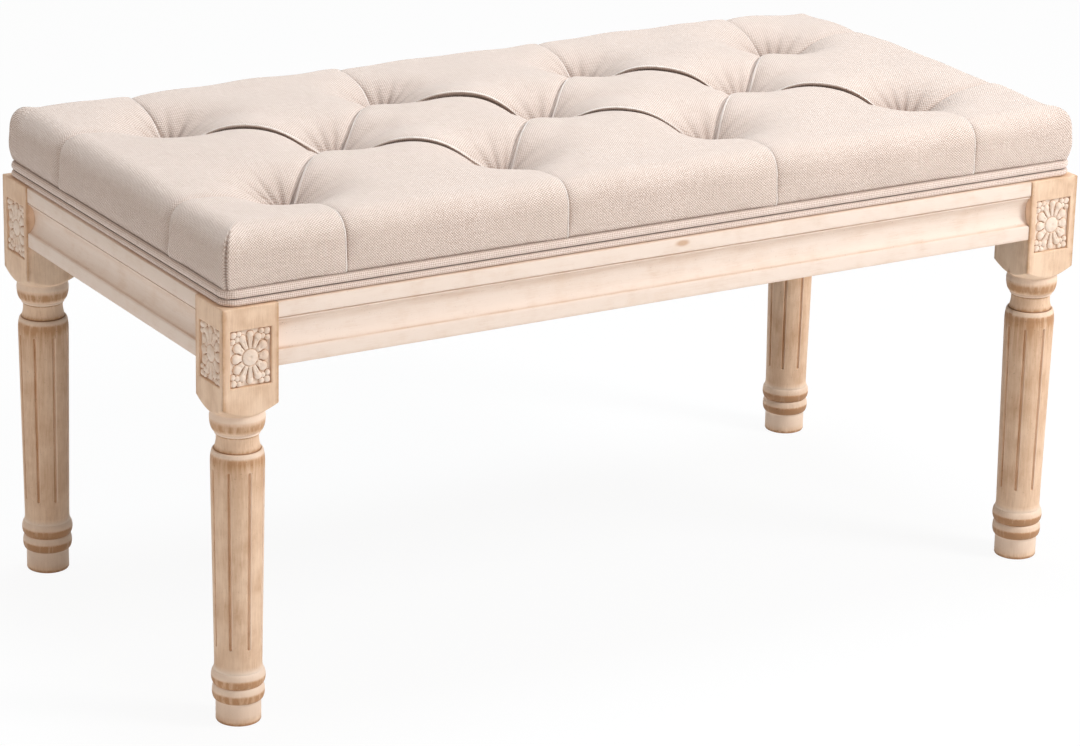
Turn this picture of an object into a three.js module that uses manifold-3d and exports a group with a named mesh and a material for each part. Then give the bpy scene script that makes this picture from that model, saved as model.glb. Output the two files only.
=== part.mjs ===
// Upholstered bench: a deep-tufted seat on a frame with carved corner blocks and turned, grooved legs.
// Millimetres, +Z up. The origin is on the floor under the middle of the bench,
// +X runs along its length and -Y faces the front.
import * as THREE from "three";
import { mergeVertices } from "three/addons/utils/BufferGeometryUtils.js";
import Module from "manifold-3d";

// Overall
const benchLength = 850;
const benchDepth = 432;
const legHeight = 366;

// Clearances
const fit = 0.3;
const overrun = 5;
const weldDistance = 0.001;
const placeTolerance = 0.1;

// Corner block at the top of each leg
const blockSide = 50;
const blockEdgeLength = 84.5;
const shoulderDrop = 9.5;
const shoulderRadius = 22;
const innerFlatCut = 9;
const innerFlatRunout = 9;

// Carved panel on the two outer faces of each block
const panelWidth = 37;
const panelHeight = 48;
const panelTopMargin = 19;
const panelRecess = 3.4;
const panelBase = 0.9;
const panelFaceInset = 0.2;
const petals = 12;
const bossRadius = 6.5;
const bossRise = 1.8;
const bossGroove = 1.7;
const petalSideReach = 16.2;
const petalTipReach = 21.4;
const petalTipFall = 0.6;
const petalDrop = 0.7;

// Turned leg, from the floor up
const legSides = 24;
const turningSteps = 3;
const footRadius = 18.9;
const footHeight = 20;
const footEdge = 1.4;
const lowerRingRadius = 21.9;
const lowerRingHeight = 13.4;
const upperRingRadius = 22.6;
const upperRingHeight = 13.4;
const ringQuirkRadius = 19.6;
const shaftFootRadius = 19.8;
const shaftHeadRadius = 22.4;
const shaftHeadRound = 12;
const arrisRadius = 20.6;
const neckRadius = 17.9;
const neckHeight = 13;
const neckFlareShare = 0.17;
const collarRadius = 18.8;
const collarHeight = 1.6;
const capRadius = 23;
const capHeight = 17;
const capWidestShare = 0.72;
const capTopRadius = 21.2;
const grooves = 8;
const grooveWidth = 3.8;
const grooveDepth = 2;
const grooveEndSteps = 2;
const grooveFootGap = 25;
const grooveHeadGap = 15;

// Rails between the blocks
const railHeight = 54;
const railThickness = 22;
const railSetback = 1.2;
const railTopBand = 13.3;
const railBottomBand = 13.3;
const coveDepth = 6.4;
const coveLip = 1.2;
const coveSteps = 8;

// Corner braces and the bolts that hold the legs
const braceThickness = 22;
const braceTopDrop = 2;
const braceFootGap = 10;
const boltRadius = 4;
const boltLegDepth = 24;
const boltNutReach = 12;
const boltPoint = 3;
const nutAcrossFlats = 13;
const nutHeight = 8;
const nutFlangeRadius = 8.5;
const nutFlangeHeight = 1.8;

// Wood screws, and the sides of every small round piece and hole
const smallSides = 8;
const screwRadius = 2.1;
const screwHeadRadius = 4.2;
const screwHeadHeight = 2.6;
const screwCrownShare = 0.8;
const screwPoint = 4;
const braceScrewLength = 28;
const braceScrewSpacing = 38;
const seatScrewSpacing = 20;
const seatScrewBite = 8;

// Seat board
const boardThickness = 12;
const boardHoleRadius = 4;

// Seat upholstery: the cover's outer faces stand inside the block faces
const coverInset = 4;
const coverThickness = 3;
const wallHeight = 46;
const edgeRise = 20;
const edgeReach = 25;
const crownRise = 5;
const wallFootTuck = 1;
const cornerFillShare = 1.22;

// Tufts: an even lattice, with the middle row between the outer rows
const tuftColumns = 4;
const tuftRows = 3;
const tuftEndMargin = 109;
const tuftSideMargin = 105;
const tuftDepth = 37;
const foldSaddleDepth = 17;
const foldReach = 68;
const pleatEdgeDepth = 4;
const pleatWallDepth = 2.4;
const endPleatDepth = 7;
const cellsPerStep = 3;
const marginCells = 2;
const cornerSteps = 3;
const edgeSteps = 3;

// Tuft ties, from the cover down through the pad and the board
const twineRadius = 1.3;
const tieHeadRadius = 3.6;
const tieHeadHeight = 1.5;
const tieWasherRadius = 8;
const tieWasherHeight = 1.5;
const padHoleRadius = 5;

// Double welt round the foot of the seat
const weltUpperRadius = 3.9;
const weltLowerRadius = 3.2;
const weltStandoff = 3;
const lobeTurn = THREE.MathUtils.degToRad(75);
const lobeSteps = 5;

// Dust cover under the rails
const dustCoverThickness = 1;
const dustCoverInset = 6;
const dustCoverNotch = 2;

// Worked out from the sizes above
const blockHalf = blockSide / 2;
const blockBottom = legHeight - blockEdgeLength - shoulderDrop;
const railBottom = legHeight - railHeight;
const braceHeight = railHeight - braceTopDrop - braceFootGap;
const railInnerFace = blockHalf - railSetback - railThickness;
const boardBottom = legHeight + fit;
const boardTop = boardBottom + boardThickness;
const seatHalfLength = benchLength / 2 - coverInset;
const seatHalfDepth = benchDepth / 2 - coverInset;
const wallTop = legHeight + wallHeight;
const edgeTop = wallTop + edgeRise;
const weltThickness = weltStandoff + weltUpperRadius;
const coverFootInset = weltThickness - fit;
const weltHeight = 2 * (weltUpperRadius + weltLowerRadius);

const fabricLook = new THREE.MeshStandardMaterial({ color: 0xe3d5cb, roughness: 0.9, metalness: 0 });
const weltLook = new THREE.MeshStandardMaterial({ color: 0xdccbc2, roughness: 0.9, metalness: 0 });
const legLook = new THREE.MeshStandardMaterial({ color: 0xdbbd9c, roughness: 0.6, metalness: 0 });
const railLook = new THREE.MeshStandardMaterial({ color: 0xe8d6c8, roughness: 0.6, metalness: 0 });
const carvingLook = new THREE.MeshStandardMaterial({ color: 0xe6d6c6, roughness: 0.65, metalness: 0 });
const innerWoodLook = new THREE.MeshStandardMaterial({ color: 0xc8a77c, roughness: 0.75, metalness: 0 });
const foamLook = new THREE.MeshStandardMaterial({ color: 0xf0e6c0, roughness: 0.95, metalness: 0 });
const steelLook = new THREE.MeshStandardMaterial({ color: 0xb8babd, roughness: 0.35, metalness: 1 });
const twineLook = new THREE.MeshStandardMaterial({ color: 0xd8ccb4, roughness: 0.9, metalness: 0 });
const dustCoverLook = new THREE.MeshStandardMaterial({ color: 0x2a2a2c, roughness: 0.95, metalness: 0 });

const wasm = await Module();
wasm.setup();

// Turns a closed geometry into a solid for joining and cutting.
function solidOf(geometry) {
  const bare = geometry.clone();
  bare.deleteAttribute("normal");
  bare.deleteAttribute("uv");
  const welded = mergeVertices(bare, weldDistance);
  const corners = welded.index.array;
  const kept = [];
  for (let i = 0; i < corners.length; i += 3) {
    const [a, b, c] = corners.slice(i, i + 3);
    if (a !== b && b !== c && c !== a) {
      kept.push(a, b, c);
    }
  }
  const vertProperties = new Float32Array(welded.attributes.position.array);
  return new wasm.Manifold(new wasm.Mesh({ numProp: 3, vertProperties, triVerts: new Uint32Array(kept) }));
}

function geometryOf(solid) {
  const { vertProperties, triVerts } = solid.getMesh();
  return indexedGeometry(Array.from(vertProperties), Array.from(triVerts));
}

function indexedGeometry(positions, triangles) {
  const geometry = new THREE.BufferGeometry();
  geometry.setAttribute("position", new THREE.Float32BufferAttribute(positions, 3));
  geometry.setIndex(triangles);
  geometry.computeVertexNormals();
  return geometry;
}

// Revolves an outline of [radius, height] points, which starts and ends on the axis, about Z.
function revolve(outline, sides) {
  const points = outline.map(([radius, height]) => new THREE.Vector2(radius, height));
  return new THREE.LatheGeometry(points, sides).rotateX(Math.PI / 2);
}

// Extrudes a plan outline of [x, y] points from one height up to another.
function prism(outline, bottom, top) {
  const shape = new THREE.Shape(outline.map(([x, y]) => new THREE.Vector2(x, y)));
  const geometry = new THREE.ExtrudeGeometry(shape, { depth: top - bottom, bevelEnabled: false });
  return geometry.translate(0, 0, bottom);
}

function box(width, depth, height, x, y, z) {
  return new THREE.BoxGeometry(width, depth, height).translate(x, y, z);
}

function cylinder(radius, bottom, top, sides) {
  const outline = [[0, bottom], [radius, bottom], [radius, top], [0, top]];
  return revolve(outline, sides);
}

// Points on an elliptical arc in [radius, height] form, both ends included.
function arc(centreRadius, centreHeight, reach, rise, fromTurn, toTurn, steps) {
  const points = [];
  for (let i = 0; i <= steps; i += 1) {
    const turn = fromTurn + ((toTurn - fromTurn) * i) / steps;
    points.push([centreRadius + reach * Math.cos(turn), centreHeight + rise * Math.sin(turn)]);
  }
  return points;
}

function piece(name, geometry, look) {
  const mesh = new THREE.Mesh(geometry, look);
  mesh.name = name;
  return mesh;
}

// Legs

// A half-round ring of the turning, from its lower edge to its upper edge.
function ringOutline(bottom, height, radius) {
  return arc(ringQuirkRadius, bottom + height / 2, radius - ringQuirkRadius, height / 2,
    -Math.PI / 2, Math.PI / 2, turningSteps);
}

const ringsTop = footHeight + lowerRingHeight + upperRingHeight;
const capBottom = blockBottom - capHeight;
const collarBottom = capBottom - collarHeight;
const arrisHeight = collarBottom - neckHeight;
const shaftHeadHeight = arrisHeight - shaftHeadRound;

function turnedOutline() {
  const neckMiddle = arrisHeight + neckHeight / 2;
  const capWidest = capBottom + capHeight * capWidestShare;
  return [
    [0, 0],
    [footRadius - footEdge, 0],
    [footRadius, footEdge],
    [footRadius, footHeight],
    ...ringOutline(footHeight, lowerRingHeight, lowerRingRadius),
    ...ringOutline(footHeight + lowerRingHeight, upperRingHeight, upperRingRadius).slice(1),
    [shaftFootRadius, ringsTop],
    ...arc(arrisRadius, shaftHeadHeight, shaftHeadRadius - arrisRadius, shaftHeadRound,
      0, Math.PI / 2, turningSteps),
    [(arrisRadius + neckRadius) / 2, arrisHeight + neckHeight * neckFlareShare],
    [neckRadius, neckMiddle],
    [neckRadius, collarBottom],
    [collarRadius, collarBottom + collarHeight / 2],
    [collarRadius, capBottom],
    ...arc(collarRadius, capWidest, capRadius - collarRadius, capWidest - capBottom,
      -Math.PI / 2, 0, turningSteps).slice(1),
    [capTopRadius, blockBottom],
    [capTopRadius, blockBottom + overrun],
    [0, blockBottom + overrun],
  ];
}

// The block's lower end is turned: corners fall to a shoulder on a cone about the leg's axis.
function blockSolid() {
  const cornerRadius = blockHalf * Math.SQRT2;
  const edgeEnd = legHeight - blockEdgeLength;
  const slope = shoulderDrop / (cornerRadius - shoulderRadius);
  const middle = (legHeight + blockBottom) / 2;
  const square = solidOf(box(blockSide, blockSide, legHeight - blockBottom, 0, 0, middle));
  const turning = solidOf(revolve([
    [0, blockBottom],
    [shoulderRadius, blockBottom],
    [cornerRadius + overrun, edgeEnd + overrun * slope],
    [cornerRadius + overrun, legHeight + overrun],
    [0, legHeight + overrun],
  ], legSides));
  return square.intersect(turning);
}

// The flat across the block's inner corner, where the brace bolt pulls, runs out below the rails.
function innerFlatCutter() {
  const flatLine = innerFlatCut - blockSide;
  const outside = -blockHalf - overrun;
  const near = flatLine - outside;
  const runoutEnd = railBottom - innerFlatRunout;
  const lowLine = -blockSide;
  const low = lowLine - outside;
  const corners = [];
  for (const [reach, height] of [[near, legHeight + overrun], [near, railBottom], [low, runoutEnd]]) {
    corners.push([outside, outside, height], [reach, outside, height], [outside, reach, height]);
  }
  const triangles = [0, 1, 2, 6, 8, 7];
  for (const ring of [0, 3]) {
    for (const [a, b] of [[0, 1], [1, 2], [2, 0]]) {
      triangles.push(ring + a, ring + 3 + a, ring + 3 + b, ring + a, ring + 3 + b, ring + b);
    }
  }
  return solidOf(indexedGeometry(corners.flat(), triangles));
}

function grooveCutter() {
  const bottom = ringsTop + grooveFootGap;
  const top = arrisHeight - grooveHeadGap;
  const half = grooveWidth / 2;
  const outline = new THREE.Shape();
  outline.absarc(0, (top - bottom) / 2 - half, half, 0, Math.PI);
  outline.absarc(0, (bottom - top) / 2 + half, half, Math.PI, 2 * Math.PI);
  const slot = new THREE.ExtrudeGeometry(outline, {
    depth: grooveDepth + overrun, bevelEnabled: false, curveSegments: grooveEndSteps,
  });
  const lean = Math.atan2(shaftHeadRadius - shaftFootRadius, shaftHeadHeight - ringsTop);
  const middle = (bottom + top) / 2;
  const surface = shaftFootRadius + (middle - ringsTop) * Math.tan(lean);
  const outward = new THREE.Vector3(Math.cos(lean), 0, -Math.sin(lean));
  const along = new THREE.Vector3(Math.sin(lean), 0, Math.cos(lean));
  const across = new THREE.Vector3().crossVectors(along, outward);
  const place = new THREE.Matrix4().makeBasis(across, along, outward);
  place.setPosition(new THREE.Vector3(surface, 0, middle).addScaledVector(outward, -grooveDepth));
  return slot.applyMatrix4(place);
}

const panelMiddle = legHeight - panelTopMargin - panelHeight / 2;
const boltHeight = legHeight - braceTopDrop - braceHeight / 2;
// Distance from the block's axis to the inner flat, towards the middle of the bench
const flatDistance = (blockSide - innerFlatCut) / Math.SQRT2;

// The brace bolt runs along the corner's diagonal, towards the middle of the bench.
function alongDiagonal(geometry) {
  return geometry.rotateY(-Math.PI / 2).rotateZ(Math.PI / 4).translate(0, 0, boltHeight);
}

function legGeometry() {
  let leg = blockSolid().add(solidOf(revolve(turnedOutline(), legSides)));
  const groove = grooveCutter();
  for (let i = 0; i < grooves; i += 1) {
    leg = leg.subtract(solidOf(groove.clone().rotateZ((2 * Math.PI * i) / grooves)));
  }
  for (const turn of [0, Math.PI / 2]) {
    const recess = box(panelRecess + overrun, panelWidth, panelHeight,
      blockHalf - panelRecess + (panelRecess + overrun) / 2, 0, panelMiddle);
    leg = leg.subtract(solidOf(recess.rotateZ(turn)));
  }
  leg = leg.subtract(innerFlatCutter());
  const boltEnd = flatDistance - boltLegDepth - fit;
  const boltHole = cylinder(boltRadius + fit, boltEnd, flatDistance + overrun, smallSides);
  return geometryOf(leg.subtract(solidOf(alongDiagonal(boltHole))));
}

// Carved panel: a twelve-petalled flower round a boss, on a plate that fills the recess.
// It is drawn facing +Z and turned to face +X, with its height along Z.
function panelGeometry() {
  const spokes = petals * 2;
  const halfWidth = panelWidth / 2 - fit;
  const halfHeight = panelHeight / 2 - fit;
  const face = panelRecess - fit - panelFaceInset;
  const rings = [];
  function ring(reachX, reachY, heightOf) {
    const points = [];
    for (let i = 0; i < spokes; i += 1) {
      const turn = (2 * Math.PI * i) / spokes;
      points.push([reachX * Math.cos(turn), reachY * Math.sin(turn), heightOf(i)]);
    }
    rings.push(points);
  }
  const petal = (high, low) => (i) => (i % 2 === 0 ? high : low);
  const outer = bossRadius + bossGroove;
  ring(bossRadius, bossRadius, petal(face - bossRise / 2, face - bossRise / 2));
  ring(outer, outer, petal(panelBase + bossRise / 2, panelBase));
  ring((outer + petalSideReach) / 2, (outer + petalTipReach) / 2, petal(face, face - bossRise));
  ring(petalSideReach, petalTipReach, petal(face - petalTipFall, panelBase));
  ring(petalSideReach + petalDrop, petalTipReach + petalDrop, petal(panelBase, panelBase));
  // the outermost ring lies on the plate's square edge, with a spoke in each corner
  const edge = [];
  for (let i = 0; i < spokes; i += 1) {
    const turn = (2 * Math.PI * i) / spokes;
    const stretch = 1 / Math.max(Math.abs(Math.cos(turn)), Math.abs(Math.sin(turn)));
    edge.push([halfWidth * stretch * Math.cos(turn), halfHeight * stretch * Math.sin(turn), panelBase]);
  }
  rings.push(edge);
  rings.push(edge.map(([x, y]) => [x, y, 0]));
  const positions = [[0, 0, face], ...rings.flat(), [0, 0, 0]];
  const last = positions.length - 1;
  const triangles = [];
  for (let i = 0; i < spokes; i += 1) {
    const next = (i + 1) % spokes;
    triangles.push(0, 1 + i, 1 + next);
    for (let k = 0; k + 1 < rings.length; k += 1) {
      const inner = 1 + k * spokes;
      const outerRing = inner + spokes;
      triangles.push(inner + i, outerRing + i, outerRing + next, inner + i, outerRing + next, inner + next);
    }
    const base = 1 + (rings.length - 1) * spokes;
    triangles.push(last, base + next, base + i);
  }
  return indexedGeometry(positions.flat(), triangles).rotateX(Math.PI / 2).rotateZ(Math.PI / 2);
}

// Rails

// The rail's section, outer face towards +Y: flat bands above and below a hollow cove.
function railSection() {
  const coveTop = railHeight - railTopBand;
  const coveMiddle = (railBottomBand + coveTop) / 2;
  const coveHalf = (coveTop - railBottomBand) / 2;
  const cove = arc(-coveLip, coveMiddle, coveLip - coveDepth, coveHalf,
    -Math.PI / 2, Math.PI / 2, coveSteps);
  return [
    [-railThickness, 0],
    [0, 0],
    [0, railBottomBand],
    ...cove,
    [0, coveTop],
    [0, railHeight],
    [-railThickness, railHeight],
  ];
}

// A rail of the given length, centred, running along X with its outer face towards +Y.
// A pilot hole at each end takes the screw from the corner brace.
function railGeometry(length) {
  const shape = new THREE.Shape(railSection().map(([out, up]) => new THREE.Vector2(out, up)));
  const bar = new THREE.ExtrudeGeometry(shape, { depth: length, bevelEnabled: false });
  bar.translate(0, 0, -length / 2);
  bar.applyMatrix4(new THREE.Matrix4().makeBasis(
    new THREE.Vector3(0, 1, 0), new THREE.Vector3(0, 0, 1), new THREE.Vector3(1, 0, 0)));
  let rail = solidOf(bar.translate(0, 0, railBottom));
  for (const end of [-1, 1]) {
    const pilot = shiftedDiagonal(braceScrewHole(braceScrewLength), -end * braceScrewSpacing);
    pilot.rotateZ(((1 - end) * Math.PI) / 4);
    pilot.translate(end * (length / 2 + fit + blockHalf), railSetback - blockHalf, 0);
    rail = rail.subtract(solidOf(pilot));
  }
  return geometryOf(rail);
}

// Corner braces and their fasteners, all in the corner's own frame:
// the leg's axis is the origin, its outer faces look along +X and +Y.

const braceOuter = flatDistance + fit;
const braceInner = braceOuter + braceThickness;

// A screw or bolt axis parallel to the diagonal, shifted sideways along the brace.
function shiftedDiagonal(geometry, shift) {
  return alongDiagonal(geometry).translate(shift / Math.SQRT2, -shift / Math.SQRT2, 0);
}

function screwOutline(length, radius, headRadius) {
  return [
    [0, -length],
    [radius, -length + screwPoint],
    [radius, 0],
    [headRadius, 0],
    [headRadius * screwCrownShare, screwHeadHeight],
    [0, screwHeadHeight],
  ];
}

function braceScrewHole(reach) {
  return cylinder(screwRadius + fit, braceInner + fit - reach, braceInner + overrun, smallSides);
}

function braceGeometry() {
  const face = railInnerFace - fit;
  const outerSum = -braceOuter * Math.SQRT2;
  const innerSum = -braceInner * Math.SQRT2;
  const outline = [
    [face, outerSum - face], [outerSum - face, face], [innerSum - face, face], [face, innerSum - face],
  ];
  const top = legHeight - braceTopDrop;
  let brace = solidOf(prism(outline, top - braceHeight, top));
  const boltHole = cylinder(boltRadius + fit, braceOuter - overrun, braceInner + overrun, smallSides);
  brace = brace.subtract(solidOf(alongDiagonal(boltHole)));
  for (const side of [-1, 1]) {
    const hole = braceScrewHole(braceThickness * 2);
    brace = brace.subtract(solidOf(shiftedDiagonal(hole, side * braceScrewSpacing)));
  }
  const seatHole = cylinder(screwRadius + fit, top - braceHeight - overrun, top + overrun, smallSides);
  return geometryOf(brace.subtract(solidOf(seatScrewPlace(seatHole))));
}

// The seat screw stands upright in the middle of the brace's thickness, beside the bolt.
function seatScrewPlace(geometry) {
  const middle = (braceOuter + braceInner) / 2;
  const along = seatScrewSpacing / Math.SQRT2;
  return geometry.translate(-middle / Math.SQRT2 + along, -middle / Math.SQRT2 - along, 0);
}

function hangerBoltGeometry() {
  const outline = [
    [0, flatDistance - boltLegDepth],
    [boltRadius, flatDistance - boltLegDepth + boltPoint],
    [boltRadius, braceInner + boltNutReach],
    [0, braceInner + boltNutReach],
  ];
  return alongDiagonal(revolve(outline, smallSides));
}

function nutGeometry() {
  const bottom = braceInner + fit;
  const top = bottom + nutHeight;
  const flange = solidOf(cylinder(nutFlangeRadius, bottom, bottom + nutFlangeHeight, legSides / 2));
  const hexRadius = nutAcrossFlats / Math.sqrt(3);
  const hex = solidOf(cylinder(hexRadius, bottom, top, 6));
  const bore = solidOf(cylinder(boltRadius + fit, bottom - overrun, top + overrun, smallSides));
  return alongDiagonal(geometryOf(flange.add(hex).subtract(bore)));
}

function braceScrewGeometry(side) {
  const screw = revolve(screwOutline(braceScrewLength, screwRadius, screwHeadRadius), smallSides);
  return shiftedDiagonal(screw.translate(0, 0, braceInner + fit), side * braceScrewSpacing);
}

function seatScrewGeometry() {
  const headSeat = legHeight - braceTopDrop - braceHeight - fit;
  const length = boardBottom + seatScrewBite - headSeat;
  const screw = revolve(screwOutline(length, screwRadius, screwHeadRadius), smallSides);
  return seatScrewPlace(screw.rotateX(Math.PI).translate(0, 0, headSeat));
}

// One corner of the frame: the leg with its two carved panels, the brace and its fasteners.
const panelShape = panelGeometry();
const legShape = legGeometry();

function corner(name, sideX, sideY) {
  const group = new THREE.Group();
  group.add(piece(`leg_${name}`, legShape, legLook));
  // the corner turns about Z so that its outer faces look away from the middle of the bench
  const turn = Math.atan2(sideY, sideX) - Math.PI / 4;
  for (const faceTurn of [0, Math.PI / 2]) {
    const looksAlongX = Math.abs(Math.cos(turn + faceTurn)) > Math.SQRT1_2;
    const face = looksAlongX ? "end" : name.split("_")[0];
    const carving = piece(`rosette_${name}_${face}`, panelShape, carvingLook);
    carving.position.set(blockHalf - panelRecess + fit, 0, panelMiddle);
    const holder = new THREE.Group();
    holder.rotation.z = faceTurn;
    holder.add(carving);
    group.add(holder);
  }
  group.add(piece(`corner_brace_${name}`, braceGeometry(), innerWoodLook));
  group.add(piece(`hanger_bolt_${name}`, hangerBoltGeometry(), steelLook));
  group.add(piece(`flange_nut_${name}`, nutGeometry(), steelLook));
  group.add(piece(`brace_screw_${name}_a`, braceScrewGeometry(-1), steelLook));
  group.add(piece(`brace_screw_${name}_b`, braceScrewGeometry(1), steelLook));
  group.add(piece(`seat_screw_${name}`, seatScrewGeometry(), steelLook));
  group.rotation.z = turn;
  group.position.set(sideX * (benchLength / 2 - blockHalf), sideY * (benchDepth / 2 - blockHalf), 0);
  return group;
}

// Seat

const tuftSpanX = 2 * seatHalfLength - 2 * tuftEndMargin;
const tuftSpanY = 2 * seatHalfDepth - 2 * tuftSideMargin;
const stepsX = 2 * (tuftColumns - 1);
const stepsY = tuftRows - 1;
const stepX = tuftSpanX / stepsX;
const stepY = tuftSpanY / stepsY;
const tufts = [];
for (let i = 0; i <= stepsX; i += 1) {
  for (let j = 0; j <= stepsY; j += 1) {
    if ((i + j) % 2 === 0) {
      tufts.push({ x: -tuftSpanX / 2 + i * stepX, y: -tuftSpanY / 2 + j * stepY });
    }
  }
}

// Creases of the cover: folds from tuft to tuft, and pleats from the outer tufts to the edges.
const creases = [];
for (const a of tufts) {
  for (const b of tufts) {
    if (same(b.x - a.x, stepX) && same(Math.abs(b.y - a.y), stepY)) {
      creases.push({ from: a, to: b, depthAt: (s) => mix(foldSaddleDepth, tuftDepth, (2 * s - 1) ** 2) });
    }
  }
  if (Math.abs(a.y) > stepY / 2) {
    const to = { x: a.x, y: Math.sign(a.y) * seatHalfDepth };
    creases.push({ from: a, to, depthAt: (s) => mix(pleatEdgeDepth, tuftDepth, (1 - s) ** 2) });
  }
  if (same(Math.abs(a.x), tuftSpanX / 2)) {
    const to = { x: Math.sign(a.x) * seatHalfLength, y: a.y };
    creases.push({ from: a, to, depthAt: (s) => mix(endPleatDepth * (1 - s), tuftDepth, (1 - s) ** 3) });
  }
}

function same(a, b) {
  return Math.abs(a - b) < placeTolerance;
}

function mix(low, high, share) {
  return low + (high - low) * share;
}

// How far the cover is drawn down at a place on the seat.
function drawDown(x, y) {
  let depth = 0;
  for (const { from, to, depthAt } of creases) {
    const runX = to.x - from.x;
    const runY = to.y - from.y;
    const along = ((x - from.x) * runX + (y - from.y) * runY) / (runX ** 2 + runY ** 2);
    const share = Math.min(Math.max(along, 0), 1);
    const away = Math.hypot(x - from.x - runX * share, y - from.y - runY * share);
    const near = Math.max(1 - away / foldReach, 0);
    depth = Math.max(depth, depthAt(share) * near ** 2);
  }
  return depth;
}

function crownHeight(x, y) {
  const gridX = seatHalfLength - edgeReach;
  const gridY = seatHalfDepth - edgeReach;
  const swell = (1 - (x / gridX) ** 2) * (1 - (y / gridY) ** 2);
  return edgeTop + crownRise * swell - drawDown(x, y);
}

// Grid lines across the top: an even number of cells in each lattice step, then the margins.
function gridLines(span, steps, edge) {
  const lines = [];
  const cells = steps * cellsPerStep;
  for (let i = 0; i < marginCells; i += 1) {
    lines.push(-edge + ((edge - span / 2) * i) / marginCells);
  }
  for (let i = 0; i <= cells; i += 1) {
    lines.push(-span / 2 + (span * i) / cells);
  }
  for (let i = 1; i <= marginCells; i += 1) {
    lines.push(span / 2 + ((edge - span / 2) * i) / marginCells);
  }
  return lines;
}

const linesX = gridLines(tuftSpanX, stepsX, seatHalfLength - edgeReach);
const linesY = gridLines(tuftSpanY, stepsY, seatHalfDepth - edgeReach);

// The stations round the seat, anticlockwise from the corner at -X, -Y: where each stands on
// the grid's rim, which way it faces, and how much of a pleat it carries.
function rimStations() {
  const stations = [];
  const lastX = linesX.length - 1;
  const lastY = linesY.length - 1;
  const corners = [[0, 0, Math.PI], [lastX, 0, 1.5 * Math.PI], [lastX, lastY, 0], [0, lastY, 0.5 * Math.PI]];
  const runs = [[1, 0, lastX], [0, 1, lastY], [-1, 0, lastX], [0, -1, lastY]];
  corners.forEach(([i, j, facing], side) => {
    for (let k = 0; k <= cornerSteps; k += 1) {
      const share = k / cornerSteps;
      const turn = facing + (share * Math.PI) / 2;
      stations.push({ i, j, turn, fill: Math.sin(share * Math.PI), pleat: 0 });
    }
    const [goX, goY, count] = runs[side];
    for (let k = 1; k < count; k += 1) {
      const x = linesX[i + goX * k];
      const pleated = goX !== 0 && tufts.some((tuft) => Math.abs(tuft.y) > stepY / 2 && same(tuft.x, x));
      const pleat = pleated ? 1 : 0;
      stations.push({ i: i + goX * k, j: j + goY * k, turn: facing + Math.PI / 2, fill: 0, pleat });
    }
  });
  return stations;
}

const stations = rimStations();

// A ring of the seat's side: so far out from the grid's rim, at one height or below the top.
function rimRing(out, heightOf, pleatDepth) {
  return stations.map((station) => {
    const x = linesX[station.i];
    const y = linesY[station.j];
    const reach = out * (1 + (cornerFillShare - 1) * station.fill) - pleatDepth * station.pleat;
    return [x + reach * Math.cos(station.turn), y + reach * Math.sin(station.turn), heightOf(x, y)];
  });
}

// The seat's skin from its top down through the given rings, as positions and triangles.
function seatSkin(drop, rings) {
  const positions = [];
  const triangles = [];
  const columns = linesX.length;
  linesY.forEach((y) => linesX.forEach((x) => positions.push([x, y, crownHeight(x, y) - drop])));
  for (let j = 0; j + 1 < linesY.length; j += 1) {
    for (let i = 0; i + 1 < columns; i += 1) {
      const a = j * columns + i;
      const b = a + 1;
      const c = b + columns;
      const d = a + columns;
      const bigI = Math.floor((i - marginCells) / cellsPerStep);
      const bigJ = Math.floor((j - marginCells) / cellsPerStep);
      if ((bigI + bigJ) % 2 === 0) {
        triangles.push(a, b, c, a, c, d);
      } else {
        triangles.push(a, b, d, b, c, d);
      }
    }
  }
  let above = stations.map((station) => station.j * columns + station.i);
  for (const ring of rings) {
    const start = positions.length;
    positions.push(...ring);
    stations.forEach((station, k) => {
      const next = (k + 1) % stations.length;
      if (above[k] !== above[next]) {
        triangles.push(above[k], start + k, above[next]);
      }
      triangles.push(above[next], start + k, start + next);
    });
    above = stations.map((station, k) => start + k);
  }
  return { positions, triangles, foot: above };
}

function edgeRings(reach, drop) {
  const rings = [];
  for (let k = 1; k <= edgeSteps; k += 1) {
    const turn = (k * Math.PI) / 2 / edgeSteps;
    const fall = edgeRise * (1 - Math.cos(turn));
    const eased = 1 - k / edgeSteps;
    rings.push(rimRing(reach * Math.sin(turn),
      (x, y) => edgeTop - drop - fall - (edgeTop - crownHeight(x, y)) * eased,
      pleatWallDepth * (1 - eased)));
  }
  return rings;
}

const level = (height) => () => height;

// The cover with its wadding: a shell that is open below, stapled to the edge of the board.
function coverGeometry() {
  const weltTop = boardBottom + weltHeight + fit;
  const footOut = edgeReach - coverFootInset;
  const outer = seatSkin(0, [
    ...edgeRings(edgeReach, 0),
    rimRing(edgeReach - wallFootTuck, level(weltTop), pleatWallDepth),
    rimRing(footOut, level(weltTop), 0),
    rimRing(footOut, level(boardBottom), 0),
  ]);
  const inner = seatSkin(coverThickness, [
    rimRing(edgeReach - coverThickness, level(wallTop), pleatWallDepth),
    rimRing(footOut - coverThickness, level(boardBottom), 0),
  ]);
  const shift = outer.positions.length;
  const triangles = [...outer.triangles];
  for (let t = 0; t < inner.triangles.length; t += 3) {
    const [a, b, c] = inner.triangles.slice(t, t + 3);
    triangles.push(shift + a, shift + c, shift + b);
  }
  outer.foot.forEach((corner, k) => {
    const next = (k + 1) % outer.foot.length;
    const innerCorner = shift + inner.foot[k];
    const innerNext = shift + inner.foot[next];
    triangles.push(corner, innerNext, outer.foot[next], corner, innerCorner, innerNext);
  });
  return indexedGeometry([...outer.positions, ...inner.positions].flat(), triangles);
}

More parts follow.
